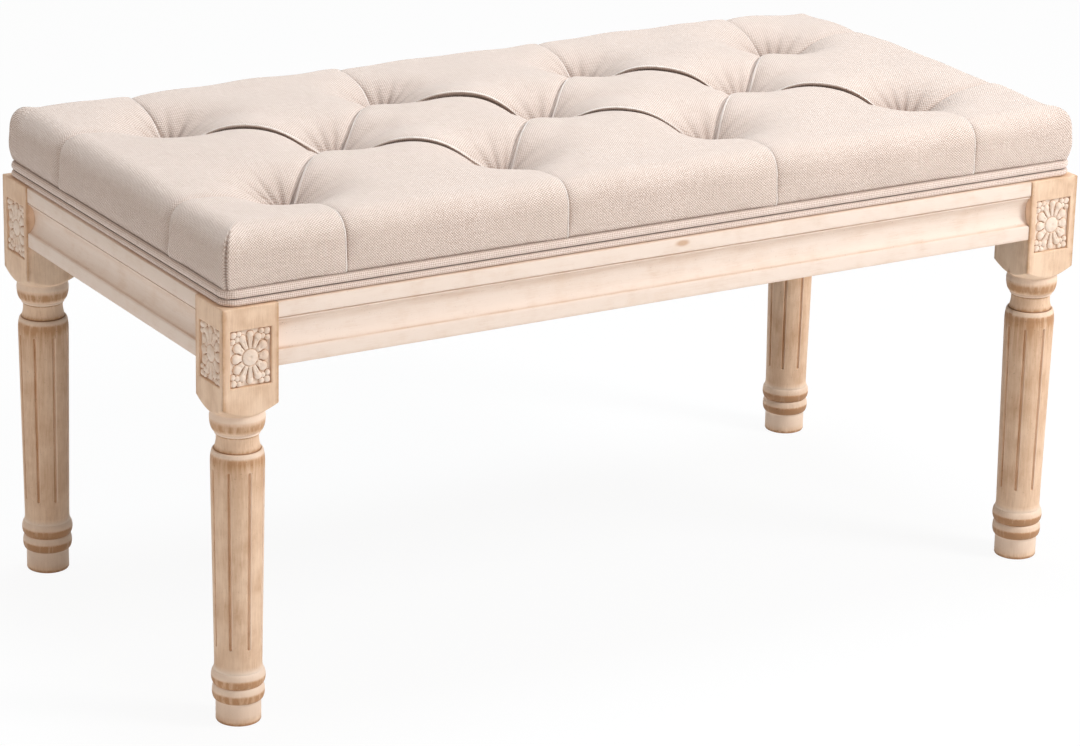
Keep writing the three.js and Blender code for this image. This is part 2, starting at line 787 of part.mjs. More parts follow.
// The foam pad under the cover, with a hole at each tuft.
function padGeometry() {
  const drop = coverThickness + fit;
  const bottom = boardTop + fit;
  const skin = seatSkin(drop, [
    rimRing(edgeReach - drop, level(wallTop - fit), pleatWallDepth),
    rimRing(edgeReach - coverFootInset - drop, level(bottom), 0),
  ]);
  const centre = skin.positions.length;
  skin.positions.push([0, 0, bottom]);
  skin.foot.forEach((corner, k) => {
    skin.triangles.push(centre, skin.foot[(k + 1) % skin.foot.length], corner);
  });
  let pad = solidOf(indexedGeometry(skin.positions.flat(), skin.triangles));
  for (const tuft of tufts) {
    const hole = cylinder(padHoleRadius, bottom - overrun, edgeTop, smallSides);
    pad = pad.subtract(solidOf(hole.translate(tuft.x, tuft.y, 0)));
  }
  return geometryOf(pad);
}

function boardGeometry() {
  const out = edgeReach - coverFootInset - coverThickness - fit;
  const outline = rimRing(out, level(0), 0).filter((point, k) => isCornerStation(stations[k]));
  let board = solidOf(prism(outline, boardBottom, boardTop));
  for (const tuft of tufts) {
    const hole = cylinder(boardHoleRadius, boardBottom - overrun, boardTop + overrun, smallSides);
    board = board.subtract(solidOf(hole.translate(tuft.x, tuft.y, 0)));
  }
  for (const [sideX, sideY] of cornerSides) {
    const pilotTop = boardBottom + seatScrewBite + fit;
    const pilot = cylinder(screwRadius + fit, boardBottom - overrun, pilotTop, smallSides);
    const turn = Math.atan2(sideY, sideX) - Math.PI / 4;
    seatScrewPlace(pilot).rotateZ(turn);
    pilot.translate(sideX * (benchLength / 2 - blockHalf), sideY * (benchDepth / 2 - blockHalf), 0);
    board = board.subtract(solidOf(pilot));
  }
  return geometryOf(board);
}

// A tie of upholstery twine: a knot under the cover, and a washer below the board.
function tieGeometry(x, y) {
  const top = crownHeight(x, y) - coverThickness - fit;
  const bottom = boardBottom - fit;
  const outline = [
    [0, bottom - tieWasherHeight],
    [tieWasherRadius, bottom - tieWasherHeight],
    [tieWasherRadius, bottom],
    [twineRadius, bottom],
    [twineRadius, top - tieHeadHeight],
    [tieHeadRadius, top - tieHeadHeight],
    [tieHeadRadius, top],
    [0, top],
  ];
  return revolve(outline, smallSides).translate(x, y, 0);
}

// Two rows of cord side by side on one flat back, run round the foot of the seat.
function weltGeometry() {
  const lowerMiddle = boardBottom + weltLowerRadius;
  const upperMiddle = boardBottom + weltHeight - weltUpperRadius;
  const section = [
    [0, boardBottom],
    ...arc(weltStandoff, lowerMiddle, weltLowerRadius, weltLowerRadius, -Math.PI / 2, lobeTurn, lobeSteps),
    ...arc(weltStandoff, upperMiddle, weltUpperRadius, weltUpperRadius, -lobeTurn, Math.PI / 2, lobeSteps),
    [0, boardBottom + weltHeight],
  ];
  const out = edgeReach - coverFootInset + fit;
  const corners = stations.filter(isCornerStation);
  const positions = [];
  for (const station of corners) {
    const stretch = 1 + (cornerFillShare - 1) * station.fill;
    for (const [depth, height] of section) {
      const reach = (out + depth) * stretch;
      const x = linesX[station.i] + reach * Math.cos(station.turn);
      const y = linesY[station.j] + reach * Math.sin(station.turn);
      positions.push([x, y, height]);
    }
  }
  const triangles = [];
  const count = section.length;
  corners.forEach((station, k) => {
    const here = k * count;
    const there = ((k + 1) % corners.length) * count;
    for (let s = 0; s < count; s += 1) {
      const up = (s + 1) % count;
      triangles.push(here + s, there + s, there + up, here + s, there + up, here + up);
    }
  });
  return indexedGeometry(positions.flat(), triangles);
}

function isCornerStation(station) {
  const atX = station.i === 0 || station.i === linesX.length - 1;
  const atY = station.j === 0 || station.j === linesY.length - 1;
  return atX && atY;
}

function dustCoverGeometry() {
  const halfX = benchLength / 2 - railSetback - dustCoverInset;
  const halfY = benchDepth / 2 - railSetback - dustCoverInset;
  const notchX = benchLength / 2 - blockSide - dustCoverNotch;
  const notchY = benchDepth / 2 - blockSide - dustCoverNotch;
  const outline = [
    [-notchX, -halfY], [notchX, -halfY], [notchX, -notchY], [halfX, -notchY],
    [halfX, notchY], [notchX, notchY], [notchX, halfY], [-notchX, halfY],
    [-notchX, notchY], [-halfX, notchY], [-halfX, -notchY], [-notchX, -notchY],
  ];
  const top = railBottom - fit;
  return prism(outline, top - dustCoverThickness, top);
}

const cornerSides = [[-1, -1], [1, -1], [1, 1], [-1, 1]];
const cornerNames = ["front_left", "front_right", "back_right", "back_left"];

const bench = new THREE.Group();
cornerSides.forEach(([sideX, sideY], k) => bench.add(corner(cornerNames[k], sideX, sideY)));

const longLength = benchLength - 2 * blockSide - 2 * fit;
const shortLength = benchDepth - 2 * blockSide - 2 * fit;
const rails = [
  ["rail_front", longLength, Math.PI, benchDepth],
  ["rail_back", longLength, 0, benchDepth],
  ["rail_left", shortLength, Math.PI / 2, benchLength],
  ["rail_right", shortLength, -Math.PI / 2, benchLength],
];
for (const [name, length, turn, across] of rails) {
  const rail = piece(name, railGeometry(length), railLook);
  rail.position.y = across / 2 - railSetback;
  const holder = new THREE.Group();
  holder.rotation.z = turn;
  holder.add(rail);
  bench.add(holder);
}

bench.add(piece("seat_board", boardGeometry(), innerWoodLook));
bench.add(piece("foam_pad", padGeometry(), foamLook));
bench.add(piece("tufted_cover", coverGeometry(), fabricLook));
bench.add(piece("double_welt", weltGeometry(), weltLook));
bench.add(piece("dust_cover", dustCoverGeometry(), dustCoverLook));
tufts.forEach((tuft, k) => {
  const number = String(k + 1).padStart(2, "0");
  bench.add(piece(`tuft_tie_${number}`, tieGeometry(tuft.x, tuft.y), twineLook));
});

export default bench;
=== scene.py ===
# Upholstered bench: the finishes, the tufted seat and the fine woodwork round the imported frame.
# Shapes are worked out in millimetres in the frame's own axes, and turned into metres as meshes are made.
import math

import bmesh
import bpy
import numpy as np
from mathutils import Matrix, Vector


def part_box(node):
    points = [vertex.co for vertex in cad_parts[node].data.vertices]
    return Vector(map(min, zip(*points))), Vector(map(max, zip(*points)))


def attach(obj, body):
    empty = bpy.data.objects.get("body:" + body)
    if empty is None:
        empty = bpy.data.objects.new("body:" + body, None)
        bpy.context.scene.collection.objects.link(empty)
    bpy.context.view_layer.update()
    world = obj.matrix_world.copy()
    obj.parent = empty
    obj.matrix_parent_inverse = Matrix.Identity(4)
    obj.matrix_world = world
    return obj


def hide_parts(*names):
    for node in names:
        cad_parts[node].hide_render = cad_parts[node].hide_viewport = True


MM = 0.001
TINY = 1e-6
WHITE = (1, 1, 1, 1)
CORNERS = {"front_left": (-1, -1), "front_right": (1, -1), "back_right": (1, 1), "back_left": (-1, 1)}
RUNS = ((1, 0), (0, 1), (-1, 0), (0, -1))

# Turned leg, from the floor up
FOOT_RADIUS = 18.9
FOOT_HEIGHT = 20
FOOT_EDGE = 1.4
LOWER_RING_RADIUS = 21.9
UPPER_RING_RADIUS = 22.6
RING_HEIGHT = 13.4
RING_QUIRK_RADIUS = 19.6
RING_TOP_TURN = 74
SHAFT_FOOT_RADIUS = 19.8
SHAFT_HEAD_RADIUS = 22.4
SHAFT_HEAD_ROUND = 12
SHAFT_FOOT_FLARE = 0.9
ARRIS_RADIUS = 20.1
NECK_FOOT_RADIUS = 19.3
NECK_RADIUS = 17.3
NECK_HEIGHT = 13.8
COLLAR_RADIUS = 19.1
COLLAR_HEIGHT = 2.2
COLLAR_ROUND = 0.5
CAP_RADIUS = 23
CAP_HEIGHT = 17
CAP_WIDEST_SHARE = 0.72
CAP_TOP_RADIUS = 21.2
GROOVES = 8
GROOVE_HALF_WIDTH = 1.4
GROOVE_DEPTH = 1.9
GROOVE_FOOT_GAP = 21
GROOVE_HEAD_GAP = 15
GROOVE_RIM_GAP = 3
# How much browner each leg's turning is: partly rubbed, partly painted shade on the legs that stand in shade
LEG_WEAR_AND_PAINTED_SHADE = {"front_left": 0.0, "front_right": 0.25, "back_right": 0.3, "back_left": 0.15}
LEG_GRAIN_STEP = (60, 45)

# Corner block
BLOCK_EDGE_LENGTH = 84.5
SHOULDER_DROP = 9.5
SHOULDER_RADIUS = 22
SHOULDER_SIDES = 96
BLOCK_EDGE_ROUND = 0.9
BLOCK_EDGE_TURN = 50
INNER_FLAT_CUT = 9
INNER_FLAT_HEIGHT = 54
CUT_BEYOND = 5
PANEL_SIZE = (37, 48)
PANEL_TOP_MARGIN = 19
PANEL_RECESS = 3.4

# Carved flower; each corner leaf is [inset along x, inset along y, radius, share of the height]
PANEL_POINTS = (131, 169)
PANEL_GRAIN_STEP = (90, 70, 20)
PLATE_HEIGHT = 0.6
PETALS = 12
PETAL_REACH = (16.9, 22.6)
BULB_SHARE = 0.37
BOSS_RADIUS = 6.8
BOSS_GAP = 1.5
CORNER_LEAVES = ((3.2, 3.2, 3.1, 0.95), (2.6, 8.7, 2.6, 0.9), (8.1, 2.6, 2.6, 0.9), (6.9, 7.1, 2.5, 0.7))
EDGE_HEIGHT = 0.25
CHISEL_MARKS = 5
CHISEL_DEPTH = 0.04
# Painted shade in the carving's crevices: the blur in grid steps, and how far below the blur a crevice is fully
# dark
CREVICE_SHADE_STEPS = 5
CREVICE_SHADE_DEPTH = 0.55

# Rail section
RAIL_TOP_BAND = 13.3
RAIL_BOTTOM_BAND = 13.3
COVE_DEPTH = 6.4
RAIL_STATIONS = 40
RAIL_END_WEAR = 0.25
RAIL_END_REACH = 9
RAIL_CREASE_TURN = 35
RAIL_GRAIN_STEP = 300

# Seat
CELLS_PER_STEP = 60
EDGE_REACH = 25
EDGE_RISE = 25
EDGE_ROUNDNESS = 0.92
TOP_HEIGHT = 63.5
CROWN_RISE = 9.5
CLOTH_THICKNESS = 0.8
WALL_FOOT_TUCK = 2.4
WALL_BULGE = 0.5
WALL_HOLD = 16
SEAM_DEPTH = 2.2
SEAM_SPREAD = 0.075
SEAM_PAINTED_SHADE = 0.85
CORNER_STEPS = 64
CORNER_FALL = 5
CORNER_REACH = 38
EAR_SHARES = {"front_left": 0.9, "front_right": 0.9, "back_right": 0.1, "back_left": 1.1}
FIT = 0.3
FOAM_STRIDE = 4
FOAM_DROP = 4
FOAM_FOOT_SHARE = 0.97
RELAX_ROUNDS = 260
OVER_RELAX = 1.96
FREE_PUFF = 400
PUFF_SCALE = 300
LOOSE_DEPTH = 10

# Tufts and their gathers
FUNNEL_DEPTH = 29
FUNNEL_REACH = 39
PINCH_SHARE = 0.15
PINCH_REACH = 8
GATHERS = 15
GATHER_DEPTH = 5.4
GATHER_REACH = 30
GATHER_TURN = 108
GATHER_SPREAD = 45
SLOW_WAVES = 9
SLOW_WAVE_TURN = 0.09
SLOW_WAVE_DEPTH = 0.26
# Painted shade in each tuft's pit and in the hollow round it, darker towards one turn and at the right-hand tufts
PIT_PAINTED_SHADE = 0.5
PIT_SHADE_REACH = 9
HOLLOW_SHADE_REACH = 30
HOLLOW_SHADE_TURN = 60
HOLLOW_SHADE_SPREAD = 75
RIGHT_HOLLOW_SHADE = 1.3

# Folds and pleats. The flap laps over the other side and lifts. The painted shade under it fades with distance.
# The foot is the depth of a pleat at the foot of the wall.
FOLD_DEPTH = 9.5
FOLD_NOSE = 4.5
LAP_REACH = 36
FULL_LAP = 3.6
FALLING_FOLD = {"lap": 11.0, "lift": 4.5, "skew": 0.7, "shade": 1.25, "fade": 2.4, "foot": None}
RISING_FOLD = {"lap": 3.8, "lift": 1.9, "skew": 1.0, "shade": 0.35, "fade": 0.8, "foot": None}
LONG_EDGE_PLEAT = {"lap": 4.6, "lift": 1.4, "shade": 0.55, "fade": 1.1, "foot": 5.5}
END_PLEAT = {"lap": 2.4, "lift": 0.9, "shade": 0.3, "fade": 13, "foot": 6.0}

# Double welt
WELT_THICKNESS = 6.9
WELT_HEIGHT = 14.2
WELT_CORNER_RADIUS = 7.0
WELT_SPACING = 1.6
UPPER_CORD_RADIUS = 4.2
LOWER_CORD_RADIUS = 2.8
STITCH_DEPTH = 0.9
CORD_OUT = 2
# Painted shade where the welt's cloth tucks in: the depth it starts from, and its share at the top
WELT_GAP_PAINTED_SHADE = 3.7
WELT_TOP_PAINTED_SHADE = 0.35

# Cloth: the width of a thread and how uneven the yarn looks
THREAD = 1.2
SLUB = 0.5

# Stage, lights and camera
FLOOR_SIZE = 14.0
FLOOR_TONE = (0.9, 0.9, 0.9, 1)
FLOOR_GLOW = 0.93
WORLD_LIGHT = 0.33
WORLD_TINT = (1, 0.885, 0.8, 1)
LIGHT_AIM = (0, 0, 0.3)
CAMERA_PLACE = (-1.7986, -2.9848, 1.3868)
CAMERA_AZIMUTH = -31.064
CAMERA_ELEVATION = 19.1
CAMERA_ROLL = 1.247
FOCAL_PIXELS = 4100
FRAME_PIXELS = 1080
SENSOR = 36


def box_mm(node):
    """The lowest and highest corner of a CAD node, in millimetres."""
    low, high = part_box(node)
    return np.array(low) / MM, np.array(high) / MM


def smooth(share):
    share = np.clip(share, 0, 1)
    return share * share * (3 - 2 * share)


def bell(distance, reach):
    """1 at no distance, falling to nothing a few reaches away."""
    return np.exp(-((distance / reach) ** 2))


def travelled(path):
    """The distance along a path at each of its points."""
    return np.concatenate([[0], np.cumsum(np.linalg.norm(np.diff(path, axis=0), axis=1))])


# Meshes


def linked(name, data):
    thing = bpy.data.objects.new(name, data)
    bpy.context.scene.collection.objects.link(thing)
    return thing


def mesh_of(name, points, faces, fields=None):
    """A smooth-shaded mesh from points in millimetres; each field has a value a point or a face corner."""
    mesh = bpy.data.meshes.new(name)
    mesh.vertices.add(len(points))
    mesh.vertices.foreach_set("co", (points * MM).astype(np.float32).ravel())
    mesh.loops.add(faces.size)
    mesh.loops.foreach_set("vertex_index", faces.astype(np.int32).ravel())
    mesh.polygons.add(len(faces))
    mesh.polygons.foreach_set("loop_start", np.arange(0, faces.size, faces.shape[1], dtype=np.int32))
    for field, values in (fields or {}).items():
        domain = "CORNER" if len(values) == faces.size else "POINT"
        attribute = mesh.attributes.new(field, "FLOAT_VECTOR", domain)
        attribute.data.foreach_set("vector", values.astype(np.float32).ravel())
    mesh.update(calc_edges=True)
    mesh.shade_smooth()
    return mesh


def add_with_wear_and_painted_light(shape, points, faces, wear_and_painted_light, always_smooth=False):
    """Adds points in millimetres with their wear_and_painted_light to a bmesh, and their faces; only quads are
    smooth otherwise.
    """
    field = shape.verts.layers.float.new("wear_and_painted_light")
    verts = [shape.verts.new(point) for point in points * MM]
    for vertex, share in zip(verts, wear_and_painted_light):
        vertex[field] = share
    for corners in faces:
        shape.faces.new([verts[k] for k in corners]).smooth = always_smooth or len(corners) == 4


def mesh_from(shape, name):
    """The mesh of a bmesh, which is used up."""
    mesh = bpy.data.meshes.new(name)
    shape.to_mesh(mesh)
    shape.free()
    return mesh


def piece(name, mesh, look, node):
    """An object for a mesh that rides on the frame and stands for a CAD node."""
    thing = linked(name, mesh)
    mesh.materials.append(look)
    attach(thing, "root")
    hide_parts(node)
    return thing


def grid_faces(rows, columns, closed=True, looped=False):
    """Quads of a grid stored row by row. Closed joins its last column to its first, and looped its last row."""
    row, column = np.meshgrid(np.arange(rows if looped else rows - 1),
                              np.arange(columns if closed else columns - 1), indexing="ij")
    beside = (column + 1) % columns
    here = row * columns
    below = (row + 1) % rows * columns
    return np.stack([here + column, here + beside, below + beside, below + column], -1).reshape(-1, 4)


def band_faces(upper, lower):
    """Triangles between two closed rings of points."""
    beside_upper, beside_lower = np.roll(upper, -1), np.roll(lower, -1)
    return [np.stack([beside_upper, upper, beside_lower], 1), np.stack([upper, lower, beside_lower], 1)]


def arc(centre, reach, from_turn, to_turn, steps):
    """Points on an elliptical arc, as [radius, height] rows."""
    turns = np.radians(np.linspace(from_turn, to_turn, steps + 1))
    return np.stack([centre[0] + reach[0] * np.cos(turns), centre[1] + reach[1] * np.sin(turns)], 1)


# Node materials


class Signal:
    """A value in a node tree; sums, differences and products with it become math nodes."""

    def __init__(self, nodes, socket):
        self.nodes = nodes
        self.socket = socket

    def __add__(self, other):
        return self.nodes.math("ADD", self, other)

    def __sub__(self, other):
        return self.nodes.math("SUBTRACT", self, other)

    def __rsub__(self, other):
        return self.nodes.math("SUBTRACT", other, self)

    def __mul__(self, other):
        return self.nodes.math("MULTIPLY", self, other)

    def __abs__(self):
        return self.nodes.math("ABSOLUTE", self)

    def clamped(self):
        self.socket.node.use_clamp = True
        return self

    __radd__ = __add__
    __rmul__ = __mul__


class Nodes:
    """Short ways to add and join the nodes of a tree."""

    def __init__(self, tree):
        self.tree = tree

    def feed(self, socket, value):
        if isinstance(value, Signal):
            self.tree.links.new(value.socket, socket)
        else:
            socket.default_value = value

    def node(self, kind, inputs=None, output=0, **settings):
        node = self.tree.nodes.new(kind)
        for setting, value in settings.items():
            setattr(node, setting, value)
        for socket, value in (inputs or {}).items():
            self.feed(node.inputs[socket], value)
        return Signal(self, node.outputs[output])

    def math(self, operation, *values):
        return self.node("ShaderNodeMath", dict(enumerate(values)), operation=operation)

    def most(self, first, second):
        return self.math("MAXIMUM", first, second)

    def field(self, name, output="Vector"):
        return self.node("ShaderNodeAttribute", output=output, attribute_name=name)

    def split(self, vector):
        x = self.node("ShaderNodeSeparateXYZ", {0: vector})
        return [Signal(self, socket) for socket in x.socket.node.outputs]

    def scaled(self, vector, scale):
        return self.node("ShaderNodeVectorMath", {0: vector, 1: scale}, operation="MULTIPLY")

    def noise(self, vector, scale, detail=3.0, roughness=0.55, distortion=0.0):
        inputs = {"Vector": vector, "Scale": scale, "Detail": detail, "Roughness": roughness,
                  "Distortion": distortion}
        return self.node("ShaderNodeTexNoise", inputs, "Fac")

    def ramp(self, value, low, high):
        """0 below low and 1 above high, smooth between."""
        inputs = {"Value": value, "From Min": low, "From Max": high}
        return self.node("ShaderNodeMapRange", inputs, interpolation_type="SMOOTHSTEP")

    def mix(self, share, first, second):
        return self.node("ShaderNodeMix", {0: share, 6: first, 7: second}, 2, data_type="RGBA")

    def seen(self):
        """1 for what the viewer sees, straight, in a mirror or through glass, and 0 for light on its way."""
        kinds = ("Camera", "Glossy", "Transmission")
        rays = [self.node("ShaderNodeLightPath", output=f"Is {kind} Ray") for kind in kinds]
        return self.most(self.most(rays[0], rays[1]), rays[2])


class Look(Nodes):
    """A material under construction."""

    def __init__(self, name, values):
        self.material = bpy.data.materials.new(name)
        self.material.use_nodes = True
        super().__init__(self.material.node_tree)
        self.shader = self.tree.nodes["Principled BSDF"]
        for socket, value in values.items():
            self.shader.inputs[socket].default_value = value

    def finish(self, colour, height, distance, strength, roughness=None):
        """Joins the colour, the bump height in millimetres and the roughness to the shader."""
        bump = self.node("ShaderNodeBump", {"Height": height, "Distance": distance * MM, "Strength": strength})
        self.feed(self.shader.inputs["Base Color"], colour)
        self.feed(self.shader.inputs["Normal"], bump)
        if roughness is not None:
            self.feed(self.shader.inputs["Roughness"], roughness)
        return self.material


def srgb(colour):
    """A linear colour from display values of 0 to 255."""
    shares = np.array(colour) / 255
    return (*np.where(shares <= 0.04045, shares / 12.92, ((shares + 0.055) / 1.055) ** 2.4), 1.0)


# Dirt, with painted shade in grooves, crevices, inside corners and under the rings
DIRT_AND_PAINTED_SHADE = srgb((112, 78, 54))
# Painted shade in the cloth: under folds, in tufts and their hollows, along seams and in the welt's gap
CLOTH_PAINTED_SHADE = srgb((112, 84, 70))
# Painted highlight on the lips of the folds
LIP_PAINTED_HIGHLIGHT = srgb((255, 244, 236))
# Thick wash, with a painted highlight on ring tops, the arris and groove rims
THICK_WASH_AND_PAINTED_HIGHLIGHT = srgb((250, 234, 220))


def wood_look(name, bare, worn, wash, cover, grain_axis, block=False):
    """Whitewashed wood. Its field rubs the wash off above 0, is dirt and painted shade towards 2, and thick wash
    and painted highlight below 0.
    """
    look = Look(name, {"Roughness": 0.55})
    place = look.field("grain")
    wear_and_painted_light = look.field("wear_and_painted_light", "Fac")
    stretch = np.ones(3)
    stretch[grain_axis] = 0.1
    along = look.scaled(place, stretch)
    fibres = look.noise(along, 0.8, detail=4.0, roughness=0.6)
    streaks = look.noise(along, 0.12, detail=2.0, distortion=0.6)
    timber = look.mix(look.ramp(streaks, 0.3, 0.75), srgb(bare), srgb(worn))
    patches = streaks * 0.45 + look.noise(place, 0.045) * 0.55 + fibres * 0.34
    washed = look.ramp(patches, 0.77 - 0.5 * cover, 1.21 - 0.5 * cover)
    patchy = look.ramp(look.noise(along, 0.3, distortion=0.3), 0.3, 0.66)
    rub = look.most(wear_and_painted_light, 0.0) * (0.5 + patchy * 0.65)
    if block:
        edges, above = block_edges(look, place)
        rub = look.most(rub, edges)
        washed = washed + above * 0.12
    rub = look.most(rub, knots(look, place, stretch)).clamped()
    washed = look.most(washed * (1.0 - rub), wear_and_painted_light * -0.95).clamped()
    colour = look.mix(washed, look.mix(rub, timber, srgb(worn)), srgb(wash))
    # Below 0 the field paints thick wash and a highlight
    colour = look.mix((wear_and_painted_light * -0.6).clamped(), colour, THICK_WASH_AND_PAINTED_HIGHLIGHT)
    pits = look.ramp(look.noise(place, 0.7, detail=1.0), 0.68, 0.76) * (0.12 + rub * 0.5)
    # Towards 2 the field paints dirt and shade; the pits are the wood's own
    dirt_and_painted_shade = look.most(look.ramp(wear_and_painted_light, 1.0, 2.0) * 0.85, pits)
    return look.finish(look.mix(dirt_and_painted_shade, colour, DIRT_AND_PAINTED_SHADE), fibres + washed * 0.4, 0.3, 0.45, 0.5 + fibres * 0.2)


def block_edges(look, grain):
    """Wear along the block's edges, from the leg's own place, and 1 on the block but 0 on the turning."""
    x, y, z = look.split(look.field("place"))
    wobble = (look.noise(grain, 0.1) - 0.5) * 6.0
    edge = look.ramp(look.math("MINIMUM", abs(x), abs(y)) + wobble, BLOCK_HALF - 5, BLOCK_HALF + 1)
    top = look.ramp(z + wobble, LEG_TOP - 3, LEG_TOP + 2)
    above = look.ramp(z, BLOCK_BOTTOM - 1, BLOCK_BOTTOM + 1)
    return look.most(edge, top * 0.2) * (above * 0.8), above


def knots(look, place, stretch):
    """A few small knots, longer along the grain."""
    squeezed = look.scaled(place, 0.018 * (0.35 + 0.65 * stretch))
    inputs = {"Vector": squeezed, "Scale": 1.0, "Randomness": 1.0}
    return 1.0 - look.ramp(look.node("ShaderNodeTexVoronoi", inputs, "Distance"), 0.03, 0.075)


def cloth_look(name, light, dark, depth):
    """Plain-woven linen: two sets of threads crossing along the sheet's own directions, with uneven yarn.

    The fold field holds how far past its fold the cloth lies, how strongly it is folded for the lip's painted
    highlight, and its painted shade.
    """
    look = Look(name, {"Roughness": 0.85, "Sheen Weight": 0.25, "Sheen Roughness": 0.5,
                       "Specular IOR Level": 0.25})
    sheet = look.field("sheet")
    waver = look.noise(sheet, 0.22, detail=2.0)
    across, up = (look.math("SINE", (way + waver) * (math.pi / THREAD)) for way in look.split(sheet)[:2])
    weave = across * up * 0.5 + 0.5
    yarn_x, yarn_y = (look.noise(look.scaled(sheet, stretch), 1.0, detail=2.0)
                      for stretch in ((0.05, 1.1, 1.0), (1.1, 0.05, 1.0)))
    yarn = (yarn_x + yarn_y) * 0.5
    tone = weave * 0.55 + yarn * SLUB + look.noise(sheet, 2.4, detail=2.0) * 0.25
    colour = look.mix(look.ramp(tone, 0.3, 0.95), srgb(dark), srgb(light))
    past_fold, folded, shade = look.split(look.field("fold"))
    lip = (1.0 - look.ramp(abs(past_fold - FOLD_NOSE), 0.4, 1.8)) * folded
    # Painted highlight along each fold's lip, which also rises in the bump
    colour = look.mix(lip * 0.9, colour, LIP_PAINTED_HIGHLIGHT)
    # Painted shade from the fold field
    colour = look.mix((shade * 0.8).clamped(), colour, CLOTH_PAINTED_SHADE)
    return look.finish(colour, weave + yarn * 0.8 + lip * 2.0, depth, 0.9)


def plain_look(name, dark, light, scale, roughness, metallic=0.0, stretch=(1, 1, 1)):
    """A mottled finish for the pieces inside: steel, twine, foam, plain wood and dust cloth."""
    look = Look(name, {"Metallic": metallic})
    place = look.node("ShaderNodeTexCoord", output="Object")
    mottle = look.noise(look.scaled(place, np.array(stretch) / MM), scale, detail=4.0)
    colour = look.mix(mottle, srgb(dark), srgb(light))
    return look.finish(colour, mottle, 0.2, 0.5, mottle * 0.2 + (roughness - 0.1))


# Frame

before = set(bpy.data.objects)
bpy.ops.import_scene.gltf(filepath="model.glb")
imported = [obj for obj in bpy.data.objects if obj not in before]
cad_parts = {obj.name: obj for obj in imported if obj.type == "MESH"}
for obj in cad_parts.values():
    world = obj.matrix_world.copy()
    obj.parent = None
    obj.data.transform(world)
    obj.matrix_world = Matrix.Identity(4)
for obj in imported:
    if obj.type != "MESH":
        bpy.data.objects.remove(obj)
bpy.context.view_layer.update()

leg_low, leg_high = box_mm("leg_front_left")
cover_low, cover_high = box_mm("tufted_cover")
board_low, board_high = box_mm("seat_board")
LEG_TOP = leg_high[2]
BLOCK_HALF = (leg_high[0] - leg_low[0]) / 2
BLOCK_BOTTOM = LEG_TOP - BLOCK_EDGE_LENGTH - SHOULDER_DROP
PANEL_MIDDLE = LEG_TOP - PANEL_TOP_MARGIN - PANEL_SIZE[1] / 2

leg_wood = wood_look("leg_wood", (222, 186, 154), (190, 142, 100), (243, 212, 183), 0.7, 2, block=True)
rail_wood = wood_look("rail_wood", (234, 210, 190), (212, 176, 148), (243, 225, 211), 0.95, 0)
carved_wood = wood_look("carved_wood", (226, 194, 166), (196, 152, 118), (242, 222, 204), 0.85, 2)
linen = cloth_look("linen", (246, 230, 220), (192, 167, 151), 0.5)
welt_linen = cloth_look("welt_linen", (254, 238, 228), (204, 178, 163), 0.4)
inner_wood = plain_look("inner_wood", (182, 146, 104), (214, 184, 146), 0.3, 0.75, stretch=(0.1, 1, 1))
steel = plain_look("steel", (150, 152, 156), (200, 202, 206), 0.6, 0.35, metallic=1.0)
twine = plain_look("twine", (196, 180, 148), (226, 214, 190), 2.5, 0.9)
foam = plain_look("foam", (228, 214, 160), (244, 236, 196), 0.8, 0.95)
dust_cloth = plain_look("dust_cloth", (30, 30, 32), (52, 52, 54), 1.6, 0.95)


# Legs


